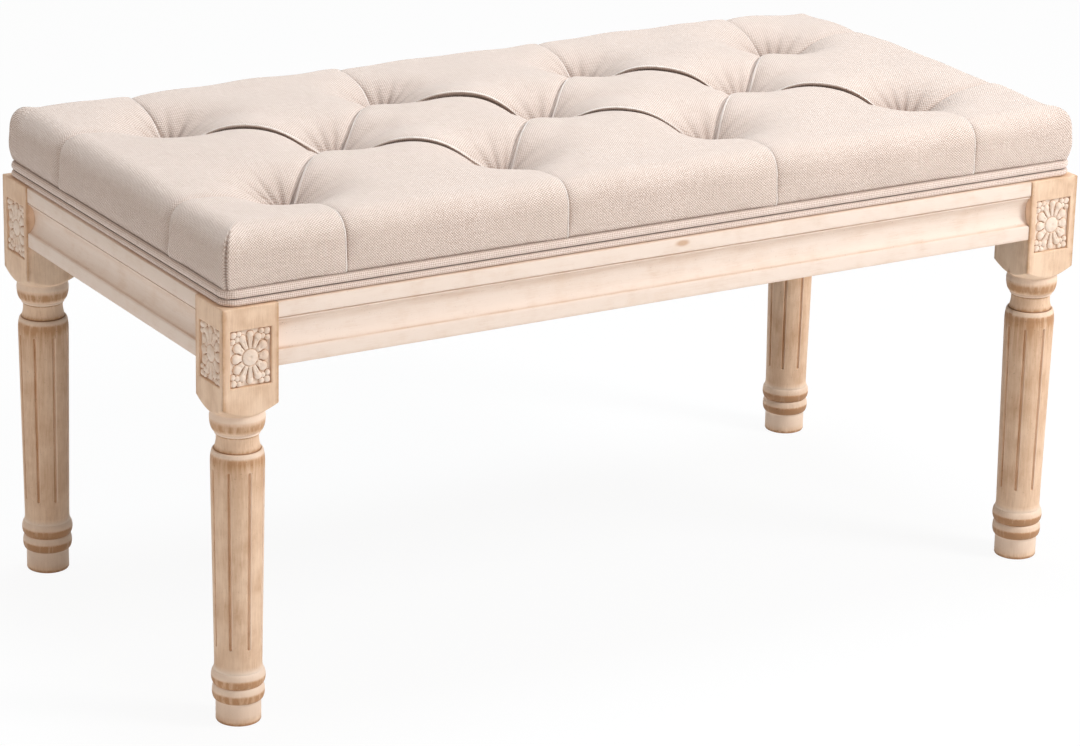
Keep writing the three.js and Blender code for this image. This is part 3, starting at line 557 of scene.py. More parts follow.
def leg_profile():
    """Rows of [radius, height, wear_and_painted_light] up the turning, fine where the grooves start and stop."""
    rows = []

    def add(points, wear_and_painted_light):
        wear_and_painted_light = np.broadcast_to(wear_and_painted_light, len(points))
        rows.extend([radius, height, share] for (radius, height), share in zip(points, wear_and_painted_light))

    rings_top = FOOT_HEIGHT + 2 * RING_HEIGHT
    cap_bottom = BLOCK_BOTTOM - CAP_HEIGHT
    collar_bottom = cap_bottom - COLLAR_HEIGHT
    arris = collar_bottom - NECK_HEIGHT
    head = arris - SHAFT_HEAD_ROUND
    quarter = np.linspace(0, 1, 19)
    third = FOOT_EDGE / 3
    add([(FOOT_RADIUS - FOOT_EDGE, 0), (FOOT_RADIUS - third, third), (FOOT_RADIUS, FOOT_EDGE)], 1.3)
    foot = np.linspace(FOOT_EDGE, FOOT_HEIGHT - 0.6, 9)[1:]
    foot_wear = np.interp(foot, [2, 4, 8, FOOT_HEIGHT], [0.3, -0.2, -0.6, -0.8])
    add([(FOOT_RADIUS, height) for height in foot], foot_wear)
    turns = np.linspace(-90, RING_TOP_TURN, 20)
    # Painted shade under each ring, and thick wash with a painted highlight on its top
    ring_wear_and_painted_light = np.interp(turns, [-90, -75, -40, 0, 14, RING_TOP_TURN], [1.6, 1.1, 1.1, 1.05, -0.6, -1])
    for index, radius in enumerate((LOWER_RING_RADIUS, UPPER_RING_RADIUS)):
        middle = FOOT_HEIGHT + RING_HEIGHT * (index + 0.5)
        reach = (radius - RING_QUIRK_RADIUS, RING_HEIGHT / 2)
        add(arc((RING_QUIRK_RADIUS, middle), reach, -90, RING_TOP_TURN, 19), ring_wear_and_painted_light)
    groove_low = rings_top + GROOVE_FOOT_GAP
    groove_high = arris - GROOVE_HEAD_GAP
    heights = np.concatenate([
        np.linspace(rings_top, groove_low - 1, 12),
        np.linspace(groove_low - 0.4, groove_low + 3, 9),
        np.linspace(groove_low + 4, groove_high - 4, 32),
        np.linspace(groove_high - 3, groove_high + 0.4, 9),
    ])
    taper = np.interp(heights, [rings_top, head], [SHAFT_FOOT_RADIUS, SHAFT_HEAD_RADIUS])
    taper += SHAFT_FOOT_FLARE * np.exp(-(heights - rings_top) / 1.6)
    # Thick wash with a painted highlight at the shaft's foot, just above the rings
    wear_at = [rings_top, rings_top + 5, groove_high - 25, groove_high]
    add(np.stack([taper, heights], 1), np.interp(heights, wear_at, [-1, 0, 0.15, 0.55]))
    reach = (SHAFT_HEAD_RADIUS - ARRIS_RADIUS, SHAFT_HEAD_ROUND)
    # Worn brown round the head's side, and thick wash with a painted highlight along the arris on top
    head_wear_and_painted_highlight = np.interp(quarter, [0, 0.25, 0.42, 0.55, 1], [0.7, 1, 0.85, -0.6, -0.9])
    add(arc((ARRIS_RADIUS, head), reach, 0, 90, 18), head_wear_and_painted_highlight)
    neck = np.linspace(0, 1, 13)
    hollow = NECK_RADIUS + (NECK_FOOT_RADIUS - NECK_RADIUS) * (1 - neck) ** 2.4 + 0.6 * neck ** 5
    # Painted shade in the neck's two inside corners
    neck_wear_and_painted_shade = np.interp(neck, [0, 0.1, 0.3, 0.9, 1], [2, 0.6, -0.1, 0, 1.9])
    add(np.stack([hollow, arris + 0.2 + (NECK_HEIGHT - 0.3) * neck], 1), neck_wear_and_painted_shade)
    collar = (COLLAR_RADIUS - COLLAR_ROUND, (collar_bottom + cap_bottom) / 2)
    # Painted shade under the collar, and thick wash with a painted highlight on its top
    add(arc(collar, (COLLAR_ROUND, COLLAR_HEIGHT / 2), -90, 90, 6), [1, 0, -0.8, -1, -0.8, -0.3, 0.3])
    widest = cap_bottom + CAP_HEIGHT * CAP_WIDEST_SHARE
    reach = (CAP_RADIUS - COLLAR_RADIUS, widest - cap_bottom)
    cap_wear = np.interp(quarter, [0, 0.2, 0.35, 0.55, 0.8, 0.95, 1], [0.2, -0.7, 0.1, 0.95, 0.8, -0.3, -0.7])
    add(arc((COLLAR_RADIUS, widest), reach, -90, 0, 18), cap_wear)
    tip = (CAP_TOP_RADIUS, BLOCK_BOTTOM + 2)
    add([(CAP_RADIUS - 0.3, widest + 1.8), (CAP_TOP_RADIUS, BLOCK_BOTTOM), tip], -0.8)
    return np.array(rows), (groove_low, groove_high)


def turned_shell():
    """Points, faces and wear_and_painted_light of the turned part of a leg, with its grooves gouged into the
    shaft.
    """
    rows, (groove_low, groove_high) = leg_profile()
    spacing = 2 * np.pi / GROOVES
    near = np.arange(-7, 8) * GROOVE_HALF_WIDTH / 5 / SHAFT_HEAD_RADIUS
    between = np.linspace(near[-1], spacing - near[-1], 16)[1:-1]
    turns = np.concatenate([k * spacing + np.concatenate([near, between]) for k in range(GROOVES)])
    sides = len(turns)
    radius, height, wear_and_painted_light = (rows[:, k][:, None] + 0 * turns[None] for k in range(3))
    off = (turns + spacing / 2) % spacing - spacing / 2
    across = radius * off[None]
    low = groove_low + GROOVE_HALF_WIDTH
    high = groove_high - GROOVE_HALF_WIDTH
    beyond = np.maximum(low - height, 0) + np.maximum(height - high, 0)
    reach = np.hypot(across, beyond) / GROOVE_HALF_WIDTH
    sunk = np.sqrt(np.clip(1 - reach ** 2, 0, 1))
    radius = radius - GROOVE_DEPTH * sunk
    by_groove = (height > groove_low - GROOVE_RIM_GAP) & (height < groove_high + GROOVE_RIM_GAP)
    rim = bell(reach - 1.1, 0.2) * by_groove
    # Each groove: painted shade down its wall on the side of lower turn, and a painted highlight on the rim across
    # from it, as if lit from one side
    lean = np.clip(across / GROOVE_HALF_WIDTH, -1, 1)
    wear_and_painted_light = wear_and_painted_light * (1 - sunk) + sunk * (0.45 - 0.75 * lean) - rim * (0.55 + 0.5 * lean)
    points = np.stack([radius * np.cos(turns), radius * np.sin(turns), height], -1).reshape(-1, 3)
    sole, crown = len(points), len(points) + 1
    ring = np.arange(sides)
    following = (ring + 1) % sides
    top = (len(rows) - 1) * sides
    faces = [
        *grid_faces(len(rows), sides),
        *np.stack([following, ring, np.full(sides, sole)], 1),
        *np.stack([top + ring, top + following, np.full(sides, crown)], 1),
    ]
    points = np.concatenate([points, [[0, 0, 0], [0, 0, points[-1, 2]]]])
    return points, faces, np.concatenate([wear_and_painted_light.ravel(), [0.6, 0]])


def apply_modifiers(thing):
    graph = bpy.context.evaluated_depsgraph_get()
    mesh = bpy.data.meshes.new_from_object(thing.evaluated_get(graph))
    thing.modifiers.clear()
    thing.data = mesh


def cut(target, tool, operation):
    """Applies one boolean to a mesh object and removes the tool."""
    modifier = target.modifiers.new("cut", "BOOLEAN")
    modifier.object = tool
    modifier.operation = operation
    modifier.solver = "EXACT"
    apply_modifiers(target)
    bpy.data.objects.remove(tool)


def box_solid(low, high):
    """A scratch box between two corners in millimetres."""
    low = np.array(low) * MM
    high = np.array(high) * MM
    shape = bmesh.new()
    for vertex in bmesh.ops.create_cube(shape, size=1)["verts"]:
        vertex.co = Vector(np.where(np.array(vertex.co) > 0, high, low))
    return linked("cutter", mesh_from(shape, "cutter"))


def block_object():
    """The square block: shoulder turned on a cone, panel recesses, and the flat across its inner corner."""
    block = box_solid((-BLOCK_HALF, -BLOCK_HALF, BLOCK_BOTTOM), (BLOCK_HALF, BLOCK_HALF, LEG_TOP))
    corner = BLOCK_HALF * math.sqrt(2)
    reach = corner + BLOCK_HALF
    rise = SHOULDER_DROP / (corner - SHOULDER_RADIUS) * (reach - SHOULDER_RADIUS)
    cone = bmesh.new()
    bmesh.ops.create_cone(cone, cap_ends=True, segments=SHOULDER_SIDES, radius1=SHOULDER_RADIUS * MM,
                          radius2=reach * MM, depth=rise * MM,
                          matrix=Matrix.Translation((0, 0, (BLOCK_BOTTOM + rise / 2) * MM)))
    turned = linked("cone", mesh_from(cone, "cone"))
    cut(turned, box_solid((-reach, -reach, BLOCK_BOTTOM + rise - 0.01), (reach, reach, LEG_TOP + 1)), "UNION")
    cut(block, turned, "INTERSECT")
    half_width, half_height = PANEL_SIZE[0] / 2, PANEL_SIZE[1] / 2
    inside, outside = BLOCK_HALF - PANEL_RECESS, BLOCK_HALF + CUT_BEYOND
    low, high = PANEL_MIDDLE - half_height, PANEL_MIDDLE + half_height
    cut(block, box_solid((inside, -half_width, low), (outside, half_width, high)), "DIFFERENCE")
    cut(block, box_solid((-half_width, inside, low), (half_width, outside, high)), "DIFFERENCE")
    flat = box_solid((-BLOCK_HALF * 2, -BLOCK_HALF * 2, LEG_TOP - INNER_FLAT_HEIGHT),
                     (0, BLOCK_HALF * 2, LEG_TOP + CUT_BEYOND))
    distance = (2 * BLOCK_HALF - INNER_FLAT_CUT) / math.sqrt(2)
    flat.data.transform(Matrix.Rotation(math.pi / 4, 4, "Z") @ Matrix.Translation((-distance * MM, 0, 0)))
    cut(block, flat, "DIFFERENCE")
    bevel = block.modifiers.new("edges", "BEVEL")
    bevel.width = BLOCK_EDGE_ROUND * MM
    bevel.segments = 3
    bevel.limit_method = "ANGLE"
    bevel.angle_limit = math.radians(BLOCK_EDGE_TURN)
    apply_modifiers(block)
    return block


def leg_mesh():
    """One leg in its corner's own frame: the axis at the origin, the outer faces along +X and +Y."""
    block = block_object()
    shape = bmesh.new()
    shape.from_mesh(block.data)
    bpy.data.objects.remove(block)
    for face in shape.faces:
        face.smooth = False
    add_with_wear_and_painted_light(shape, *turned_shell(), always_smooth=True)
    return mesh_from(shape, "leg")


def placed(mesh, name, matrix, offset):
    """A copy of a mesh put in place, which keeps each point's place on its own piece and in the grain."""
    copy = mesh.copy()
    copy.name = name
    spots = np.empty(len(copy.vertices) * 3, np.float32)
    copy.vertices.foreach_get("co", spots)
    spots /= MM
    grain = spots + np.tile(np.array(offset, np.float32), len(copy.vertices))
    for field, values in (("place", spots), ("grain", grain)):
        copy.attributes.new(field, "FLOAT_VECTOR", "POINT").data.foreach_set("vector", values)
    copy.transform(matrix)
    return copy


def leg_axis(name):
    """The move from the origin to a leg's axis on the floor."""
    low, high = box_mm(f"leg_{name}")
    return Matrix.Translation((*((low + high) / 2 * MM)[:2], 0))


def build_legs():
    shape = leg_mesh()
    for name, (side_x, side_y) in CORNERS.items():
        turn = Matrix.Rotation(math.atan2(side_y, side_x) - math.pi / 4, 4, "Z")
        offset = (side_x * LEG_GRAIN_STEP[0], side_y * LEG_GRAIN_STEP[1], 0)
        mesh = placed(shape, f"leg_{name}", leg_axis(name) @ turn, offset)
        wear_and_painted_light = np.empty(len(mesh.vertices), np.float32)
        mesh.attributes["wear_and_painted_light"].data.foreach_get("value", wear_and_painted_light)
        height = np.array([vertex.co[2] for vertex in mesh.vertices]) / MM
        # The turning between foot and block is rubbed browner, partly as painted shade
        wear_and_painted_light += LEG_WEAR_AND_PAINTED_SHADE[name] * ((height > FOOT_HEIGHT) & (height < BLOCK_BOTTOM))
        mesh.attributes["wear_and_painted_light"].data.foreach_set("value", wear_and_painted_light)
        piece(f"turned_leg_{name}", mesh, leg_wood, f"leg_{name}")


# Carved panels


def blurred(values, steps):
    """A grid smoothed over so many steps each way."""
    kernel = np.hanning(2 * steps + 3)[1:-1]
    kernel /= kernel.sum()
    wide = np.pad(values, steps, mode="edge")
    across = np.apply_along_axis(np.convolve, 1, wide, kernel, "valid")
    return np.apply_along_axis(np.convolve, 0, across, kernel, "valid")


def carving_height(x, y, half_x, half_y):
    """The carving's relief over its plate: petals with bulbs, a domed boss and leaves in each corner."""
    top = PANEL_RECESS - FIT - 0.1
    height = np.full(x.shape, PLATE_HEIGHT)

    def dome(centre_x, centre_y, radius):
        return np.sqrt(np.clip(1 - ((x - centre_x) ** 2 + (y - centre_y) ** 2) / radius ** 2, 0, 1))

    def raised(shape, share=1.0):
        return np.maximum(height, PLATE_HEIGHT + (top - PLATE_HEIGHT) * share * shape)

    turns = np.radians(np.arange(PETALS) * 360 / PETALS)
    tips = np.stack([PETAL_REACH[0] * np.cos(turns), PETAL_REACH[1] * np.sin(turns)], 1)
    spacing = np.linalg.norm(np.roll(tips, -1, 0) - np.roll(tips, 1, 0), axis=1) / 2
    facing = np.arctan2(tips[:, 1], tips[:, 0])
    gaps = (np.roll(facing, -1) - np.roll(facing, 1)) % (2 * np.pi) / 2
    root = BOSS_RADIUS * 1.15
    for tip, room, gap in zip(tips, spacing, gaps):
        length = np.linalg.norm(tip)
        run = tip / length
        gone = x * run[0] + y * run[1]
        off = np.abs(y * run[0] - x * run[1])
        bulb_radius = room * BULB_SHARE
        bulb_place = length - bulb_radius
        width = np.interp(gone, [root, bulb_place], [root * gap * 0.5, bulb_radius * 0.86])
        ridge = np.interp(gone, [root, root + 2, bulb_place - 2, bulb_place], [0.6, 0.86, 0.8, 0.6])
        hollow = 1 - 0.3 * smooth(1 - off / (0.6 * width)) * smooth((gone - root - 1) / 2)
        stem = np.sqrt(np.clip(1 - (off / width) ** 2, 0, 1)) * smooth((bulb_place + 0.8 - gone) / 0.8)
        height = raised(stem * ridge * hollow * (gone > 0))
        height = raised(dome(*(run * bulb_place), bulb_radius))
    for side_x, side_y in CORNERS.values():
        for inset_x, inset_y, radius, share in CORNER_LEAVES:
            height = raised(dome(side_x * (half_x - inset_x), side_y * (half_y - inset_y), radius), share)
    radius = np.hypot(x, y)
    moat = smooth((BOSS_RADIUS + BOSS_GAP - radius) / 0.7)
    height -= (height - PLATE_HEIGHT - 0.5) * moat * 0.85
    boss = top - 1.2 * (radius / BOSS_RADIUS) ** 2.6 - 0.5 * bell(radius, 1.6)
    height = np.where(radius < BOSS_RADIUS, np.maximum(boss, PLATE_HEIGHT), height)
    border = smooth((half_x - np.abs(x)) / 0.4) * smooth((half_y - np.abs(y)) / 0.4)
    height = EDGE_HEIGHT + (height - EDGE_HEIGHT) * (0.3 + 0.7 * border)
    marks = np.random.default_rng(7).uniform((0.4, 0.4, 0), (1.5, 1.5, 6), (CHISEL_MARKS, 3))
    chisel = sum(np.sin(x * a + y * b + c) for a, b, c in marks)
    # The second value feeds the wood's field: thick wash over the relief, and dirt with painted shade in crevices
    # below its blurred height
    crevice_shade = np.clip((blurred(height, CREVICE_SHADE_STEPS) - height) / CREVICE_SHADE_DEPTH, 0, 1)
    return height + CHISEL_DEPTH * chisel, -0.35 + 2.4 * crevice_shade ** 1.2


def carving_mesh():
    """A carved panel as one closed plate; it faces +Z, with its height along Y."""
    half_x, half_y = (size / 2 - FIT for size in PANEL_SIZE)
    columns, rows = PANEL_POINTS
    x, y = np.meshgrid(np.linspace(-half_x, half_x, columns), np.linspace(-half_y, half_y, rows))
    height, wear_and_painted_light = carving_height(x, y, half_x, half_y)
    points = np.stack([x, y, height], -1).reshape(-1, 3)
    rim = np.concatenate([
        np.arange(columns),
        np.arange(1, rows) * columns + columns - 1,
        (rows - 1) * columns + np.arange(columns - 2, -1, -1),
        np.arange(rows - 2, 0, -1) * columns,
    ])
    foot = len(points) + np.arange(len(rim))
    beside = np.roll(foot, -1)
    walls = np.stack([rim, foot, beside, np.roll(rim, -1)], 1)
    under = np.stack([beside, foot, np.full(len(rim), len(points) + len(rim))], 1)
    everything = np.concatenate([points, points[rim] * (1, 1, 0), [[0, 0, 0]]])
    # The panel's sides and underside, in its recess, take dirt and painted shade
    shares = np.concatenate([wear_and_painted_light.ravel(), np.full(len(rim) + 1, 1.5)])
    shape = bmesh.new()
    add_with_wear_and_painted_light(shape, everything, [*grid_faces(rows, columns, closed=False), *walls, *under], shares)
    return mesh_from(shape, "carving")


def build_carvings():
    shape = carving_mesh()
    out = Matrix.Translation(((BLOCK_HALF - PANEL_RECESS + FIT) * MM, 0, PANEL_MIDDLE * MM))
    upright = Matrix.Rotation(math.pi / 2, 4, "Z") @ Matrix.Rotation(math.pi / 2, 4, "X")
    for name, (side_x, side_y) in CORNERS.items():
        for face, turn in (("end", 0 if side_x > 0 else math.pi), (name.split("_")[0], side_y * math.pi / 2)):
            matrix = leg_axis(name) @ Matrix.Rotation(turn, 4, "Z") @ out @ upright
            offset = np.array([side_x, side_y, turn]) * PANEL_GRAIN_STEP
            mesh = placed(shape, f"carving_{name}_{face}", matrix, offset)
            piece(f"flower_{name}_{face}", mesh, carved_wood, f"rosette_{name}_{face}")


# Rails


def rail_outline(height, thickness):
    """Rows of [out, up, wear_and_painted_light] round the rail's section, outer face first."""
    band = RAIL_BOTTOM_BAND
    cove_top = height - RAIL_TOP_BAND
    share = np.linspace(0, 1, 29)[1:-1]
    edge = 2 + (1.6 - 2) * share
    hollow = 1 - abs(2 * share ** 0.85 - 1) ** 2.2
    low, high = band + 0.6, cove_top - 1.8
    cove = np.column_stack([
        -edge - (COVE_DEPTH + 0.4 - edge) * hollow,
        low + (high - low) * share,
        np.interp(share, [0, 0.08, 0.45, 0.8, 1], [0.5, -0.3, -0.2, 0.4, 0.45]),
    ])
    # The upper cove and the quirk under the top band are rubbed darker, as painted shade under the band;
    # build_rails keeps the field between 0 and 1
    return np.array([
        (-thickness, 0, 0.6), (-0.9, 0, 0.6), (-0.3, 0.3, 0.5), (0, 0.9, 0.3), (0, 3, 0),
        (0, band - 1.7, -0.1), (-0.1, band - 1.1, -1), (-0.9, band - 0.1, -1), (-2, band + 0.2, 0.7),
        *cove,
        (-0.9, cove_top - 1.8, -0.9), (-0.8, cove_top - 1.4, -1), (-1.6, cove_top - 0.7, -0.9),
        (-2.3, cove_top - 0.5, 1.8), (-2.3, cove_top - 0.1, 2), (-0.3, cove_top, 1.6), (0, cove_top + 0.5, 0),
        (0, cove_top + 2, -0.2), (0, height - 1, 0), (-0.3, height - 0.3, 0.4), (-1, height, 0.5),
        (-thickness, height, 0.5),
    ])


def build_rails():
    for name, turn in (("front", math.pi), ("back", 0), ("left", math.pi / 2), ("right", -math.pi / 2)):
        low, high = box_mm(f"rail_{name}")
        thickness, length = sorted((high - low)[:2])
        rows = rail_outline(high[2] - low[2], thickness)
        along = np.repeat(np.linspace(-length / 2, length / 2, RAIL_STATIONS), len(rows))
        section = np.tile(rows, (RAIL_STATIONS, 1))
        points = np.stack([along, section[:, 0], section[:, 1] + low[2]], 1)
        near_end = np.exp(-(length / 2 - np.abs(along)) / RAIL_END_REACH)
        wear_and_painted_light = np.clip(section[:, 2] + RAIL_END_WEAR * near_end, 0, 1)
        first = np.arange(len(rows))
        last = first + (RAIL_STATIONS - 1) * len(rows)
        shape = bmesh.new()
        add_with_wear_and_painted_light(shape, points, [*grid_faces(RAIL_STATIONS, len(rows))[:, ::-1], first, last[::-1]], wear_and_painted_light)
        bmesh.ops.recalc_face_normals(shape, faces=shape.faces)
        mesh = mesh_from(shape, f"rail_{name}")
        mesh.set_sharp_from_angle(angle=math.radians(RAIL_CREASE_TURN))
        out = np.array([-math.sin(turn), math.cos(turn)]) * thickness / 2
        middle = ((low + high) / 2)[:2] + out
        matrix = Matrix.Translation((*(middle * MM), 0)) @ Matrix.Rotation(turn, 4, "Z")
        mesh = placed(mesh, f"rail_{name}", matrix, (turn * RAIL_GRAIN_STEP, 0, 0))
        piece(f"moulded_rail_{name}", mesh, rail_wood, f"rail_{name}")


# Seat


class Seat:
    """The tufted cover as one sheet: its flat layout, its creases and the surface that they draw down."""

    def __init__(self):
        ties = [box_mm(name) for name in sorted(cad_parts) if name.startswith("tuft_tie_")]
        self.tufts = [((low + high) / 2)[:2] for low, high in ties]
        self.half = (cover_high[:2] - cover_low[:2]) / 2
        self.rim = self.half - EDGE_REACH
        places = [sorted({round(tuft[axis]) for tuft in self.tufts}) for axis in range(2)]
        self.span = np.array([line[-1] - line[0] for line in places]) / 2
        self.step = np.array([2 * span / (len(line) - 1) for span, line in zip(self.span, places)])
        self.pitch = self.step / CELLS_PER_STEP
        self.edge_top = LEG_TOP + TOP_HEIGHT
        self.make_section()
        self.make_sheet()
        self.make_creases()
        self.solve()

    def make_section(self):
        """The side of the seat from the rim of its top to the welt, by length along the cloth."""
        turns = np.linspace(0, np.pi / 2, 60)
        out = EDGE_REACH * np.sin(turns) ** EDGE_ROUNDNESS
        drop = EDGE_RISE * (1 - np.cos(turns) ** EDGE_ROUNDNESS)
        wall = np.linspace(0, 1, 40)[1:]
        foot = self.edge_top - (board_low[2] + WELT_HEIGHT + FIT)
        out = np.concatenate([out, EDGE_REACH + WALL_BULGE * np.sin(np.pi * wall) - WALL_FOOT_TUCK * wall ** 3])
        drop = np.concatenate([drop, EDGE_RISE + (foot - EDGE_RISE) * wall])
        length = travelled(np.stack([out, drop], 1))
        lean = np.arctan2(np.gradient(drop, length), np.gradient(out, length))
        lean = np.maximum.accumulate(np.clip(lean, 0, np.pi / 2))
        self.section = (length, out, drop, lean)
        self.side = length[-1]

    def make_sheet(self):
        """Lines of the flat layout: even cells in each step of the lattice, then the margins and the sides."""
        self.rings = round(self.side / self.pitch[0])
        self.lines = []
        for span, rim, pitch in zip(self.span, self.rim, self.pitch):
            inner = np.arange(-span, span + pitch / 2, pitch)
            margin = rim - span
            count = round(margin / pitch)
            outer = span + margin * np.arange(1, count + 1) / count
            sides = rim + self.side * np.arange(1, self.rings + 1) / self.rings
            half = np.concatenate([outer, sides])
            self.lines.append(np.concatenate([-half[::-1], inner, half]))

    def make_creases(self):
        """Folds from tuft to tuft and pleats to the edges, each with the side whose cloth laps over."""
        self.creases = []

        def add(kind, start, end, flap):
            self.creases.append({**kind, "start": start, "end": end, "flap": np.array(flap)})

        for a in self.tufts:
            for b in self.tufts:
                rise = (b - a)[1] / self.step[1]
                if abs((b - a)[0] - self.step[0]) < 2 and abs(abs(rise) - 1) < 0.02:
                    run = (b - a) / np.linalg.norm(b - a)
                    if rise < 0:
                        add(FALLING_FOLD, a, b, (-run[1], run[0]))
                    else:
                        add(RISING_FOLD, a, b, (run[1], -run[0]))
            foot = np.sign(a) * (self.rim + self.side)
            if abs(a[1]) > self.step[1] / 2:
                add(LONG_EDGE_PLEAT, a, np.array([a[0], foot[1]]), (-1.0, 0))
            if abs(a[0]) > self.span[0] - self.step[0] / 2:
                add(END_PLEAT, a, np.array([foot[0], a[1]]), (0, -1.0))

    def crease_depth(self, crease, share):
        if crease["foot"] is None:
            return FOLD_DEPTH
        top = np.linalg.norm(crease["end"] - crease["start"]) - self.side
        gone = share * (top + self.side) / top
        return FOLD_DEPTH - (FOLD_DEPTH - crease["foot"]) * smooth((gone - 0.5) / 0.7)

    def solve(self):
        """Two membranes over the flat layout: how puffed the cloth is, and how deep the creases round it lie."""
        x, y = np.meshgrid(*self.lines)
        held = np.zeros(x.shape, bool)
        depth = np.full(x.shape, float(LOOSE_DEPTH))
        for crease in self.creases:
            share, off = self.along(crease, x, y)
            on = (np.abs(off) < self.pitch[0] * 0.3) & (share > -1e-3) & (share < 1 + 1e-3)
            held |= on
            depth[on] = self.crease_depth(crease, np.clip(share[on], 0, 1))
        self.depth = relax(depth, held, 0)
        self.puff = relax(np.where(held, 0.0, FREE_PUFF), held, self.pitch[0] ** 2)

    @staticmethod
    def along(crease, x, y):
        """Where places lie beside a crease: the share of its length, and the distance to its flap's side."""
        start, flap = crease["start"], crease["flap"]
        run = crease["end"] - start
        share = ((x - start[0]) * run[0] + (y - start[1]) * run[1]) / np.linalg.norm(run) ** 2
        off = (x - start[0]) * flap[0] + (y - start[1]) * flap[1]
        return share, off

    def sample(self, field, x, y):
        """A field of the flat layout read at any places, straight between its points."""
        column, row = (np.interp(at, lines, np.arange(len(lines))) for at, lines in zip((x, y), self.lines))
        i = np.minimum(column.astype(int), len(self.lines[0]) - 2)
        j = np.minimum(row.astype(int), len(self.lines[1]) - 2)
        u, v = column - i, row - j
        low = field[j, i] * (1 - u) + field[j, i + 1] * u
        high = field[j + 1, i] * (1 - u) + field[j + 1, i + 1] * u
        return low * (1 - v) + high * v

    def draw(self, x, y, base, normal, free, lapped):
        """Moves points of the plain seat: tufts, folds and loose cloth where it is free, and laps everywhere."""
        puff = self.sample(self.puff, x, y)
        drawn = self.sample(self.depth, x, y) / (1 + puff / PUFF_SCALE) + self.funnels(x, y)
        if lapped:
            drawn += self.gathers(x, y)
        moved = -normal * (drawn * free)[:, None]
        if lapped:
            moved += sum(self.lap(crease, x, y, normal) for crease in self.creases)
        return base + moved

    def lap(self, crease, x, y, normal):
        """The flap's side of a crease bulges over the other side, with a rounded nose."""
        share, off = self.along(crease, x, y)
        inside = (off > 0) & (off < LAP_REACH)
        back = smooth((LAP_REACH - off) / (LAP_REACH - FOLD_NOSE))
        bulge = np.where(off < FOLD_NOSE, smooth(off / FOLD_NOSE), back)
        amount = (bulge * self.fold_strength(crease, share) * inside)[:, None]
        return amount * (normal * crease["lift"] - np.array([*crease["flap"], 0]) * crease["lap"])

    @staticmethod
    def fold_strength(crease, share):
        """How fully a fold laps at a share of its length: not at its tufts, and all the way down a pleat."""
        inside = (share > 0) & (share < 1.001)
        if crease["foot"] is None:
            return inside * np.sin(np.pi * np.clip(share, 0, 1) ** crease["skew"]) ** 0.5
        return inside * smooth(share / 0.3)

    def fold_marks(self, x, y):
        """For the look: how far past its fold each point lies, how strongly folded for the lip's painted
        highlight, and its painted shade.
        """
        past, folded, shade = np.zeros((3, len(x)))
        for crease in self.creases:
            share, off = self.along(crease, x, y)
            strength = self.fold_strength(crease, share) * min(crease["lap"] / FULL_LAP, 1)
            near = strength * smooth((11 - np.abs(off - FOLD_NOSE)) / 5)
            stronger = near > folded
            past[stronger] = off[stronger]
            folded[stronger] = near[stronger]
            # Painted shade on the cloth under the flap's nose, fading away from it
            under = np.clip(1 + (off + crease["lap"] - 0.7 * FOLD_NOSE) / crease["fade"], 0, 1) * (off < 0.5)
            shade = np.maximum(shade, strength * under * crease["shade"])
        for k, tuft in enumerate(self.tufts):
            radius, turn, fan = self.fan(k, tuft, x, y)
            # Painted shade round each tuft: a dark pit, and a hollow darker on one side and in its gathers
            hollow = 0.2 + (0.5 + 0.55 * fan) * bell(turn - HOLLOW_SHADE_TURN, HOLLOW_SHADE_SPREAD)
            if tuft[0] > self.span[0] - self.step[0] / 2:
                hollow *= RIGHT_HOLLOW_SHADE
            painted_pit_shade = PIT_PAINTED_SHADE * bell(radius, PIT_SHADE_REACH) + hollow * bell(radius, HOLLOW_SHADE_REACH)
            shade = np.maximum(shade, painted_pit_shade)
        # No painted shade on the lip itself, which takes the painted highlight
        shade *= 1 - 0.95 * folded * smooth((2.4 - np.abs(past - FOLD_NOSE)) / 1.5)
        return np.stack([past, folded, shade], 1)

    @staticmethod
    def fan(k, tuft, x, y):
        """How far and which way places lie from a tuft, and how deep they are in its small radiating pleats."""
        radius = np.hypot(x - tuft[0], y - tuft[1])
        turn = np.arctan2(y - tuft[1], x - tuft[0])
        wave = np.cos(turn * GATHERS + 1.3 * k + 1.2 * np.sin(turn * 3 + k))
        return radius, np.degrees(turn), (0.5 + 0.5 * wave) ** 2.5

    def funnels(self, x, y):
        """How far each tuft draws the cloth round it down."""
        total = np.zeros(len(x))
        for tuft in self.tufts:
            radius = np.hypot(x - tuft[0], y - tuft[1])
            total += (1 - PINCH_SHARE) * bell(radius, FUNNEL_REACH) + PINCH_SHARE * np.exp(-radius / PINCH_REACH)
        return FUNNEL_DEPTH * np.minimum(total, 1)

    def gathers(self, x, y):
        """Small pleats that fan out from each tuft, deepest on its far side, and slow waves in the cloth."""
        total = np.zeros(len(x))
        for k, tuft in enumerate(self.tufts):
            radius, turn, fan = self.fan(k, tuft, x, y)
            facing = 0.25 + 0.75 * bell(turn - GATHER_TURN, GATHER_SPREAD)
            total += GATHER_DEPTH * facing * fan * smooth((radius - 2) / 8) * bell(radius, GATHER_REACH)
        low, high = (-SLOW_WAVE_TURN, -SLOW_WAVE_TURN, 0), (SLOW_WAVE_TURN, SLOW_WAVE_TURN, 6)
        for a, b, c in np.random.default_rng(3).uniform(low, high, (SLOW_WAVES, 3)):
            total += SLOW_WAVE_DEPTH * np.sin(a * x + b * y + c)
        return total

    def plain_top(self, x, y):
        """The height of the top before any tuft: crowned, and lower at the corners that stand up least."""
        top = self.edge_top + CROWN_RISE * (1 - (x / self.rim[0]) ** 2) * (1 - (y / self.rim[1]) ** 2)
        for corner, (side_x, side_y) in CORNERS.items():
            away = np.hypot(x - side_x * self.rim[0], y - side_y * self.rim[1])
            top -= CORNER_FALL * (1 - EAR_SHARES[corner]) * bell(away, CORNER_REACH)
        return top

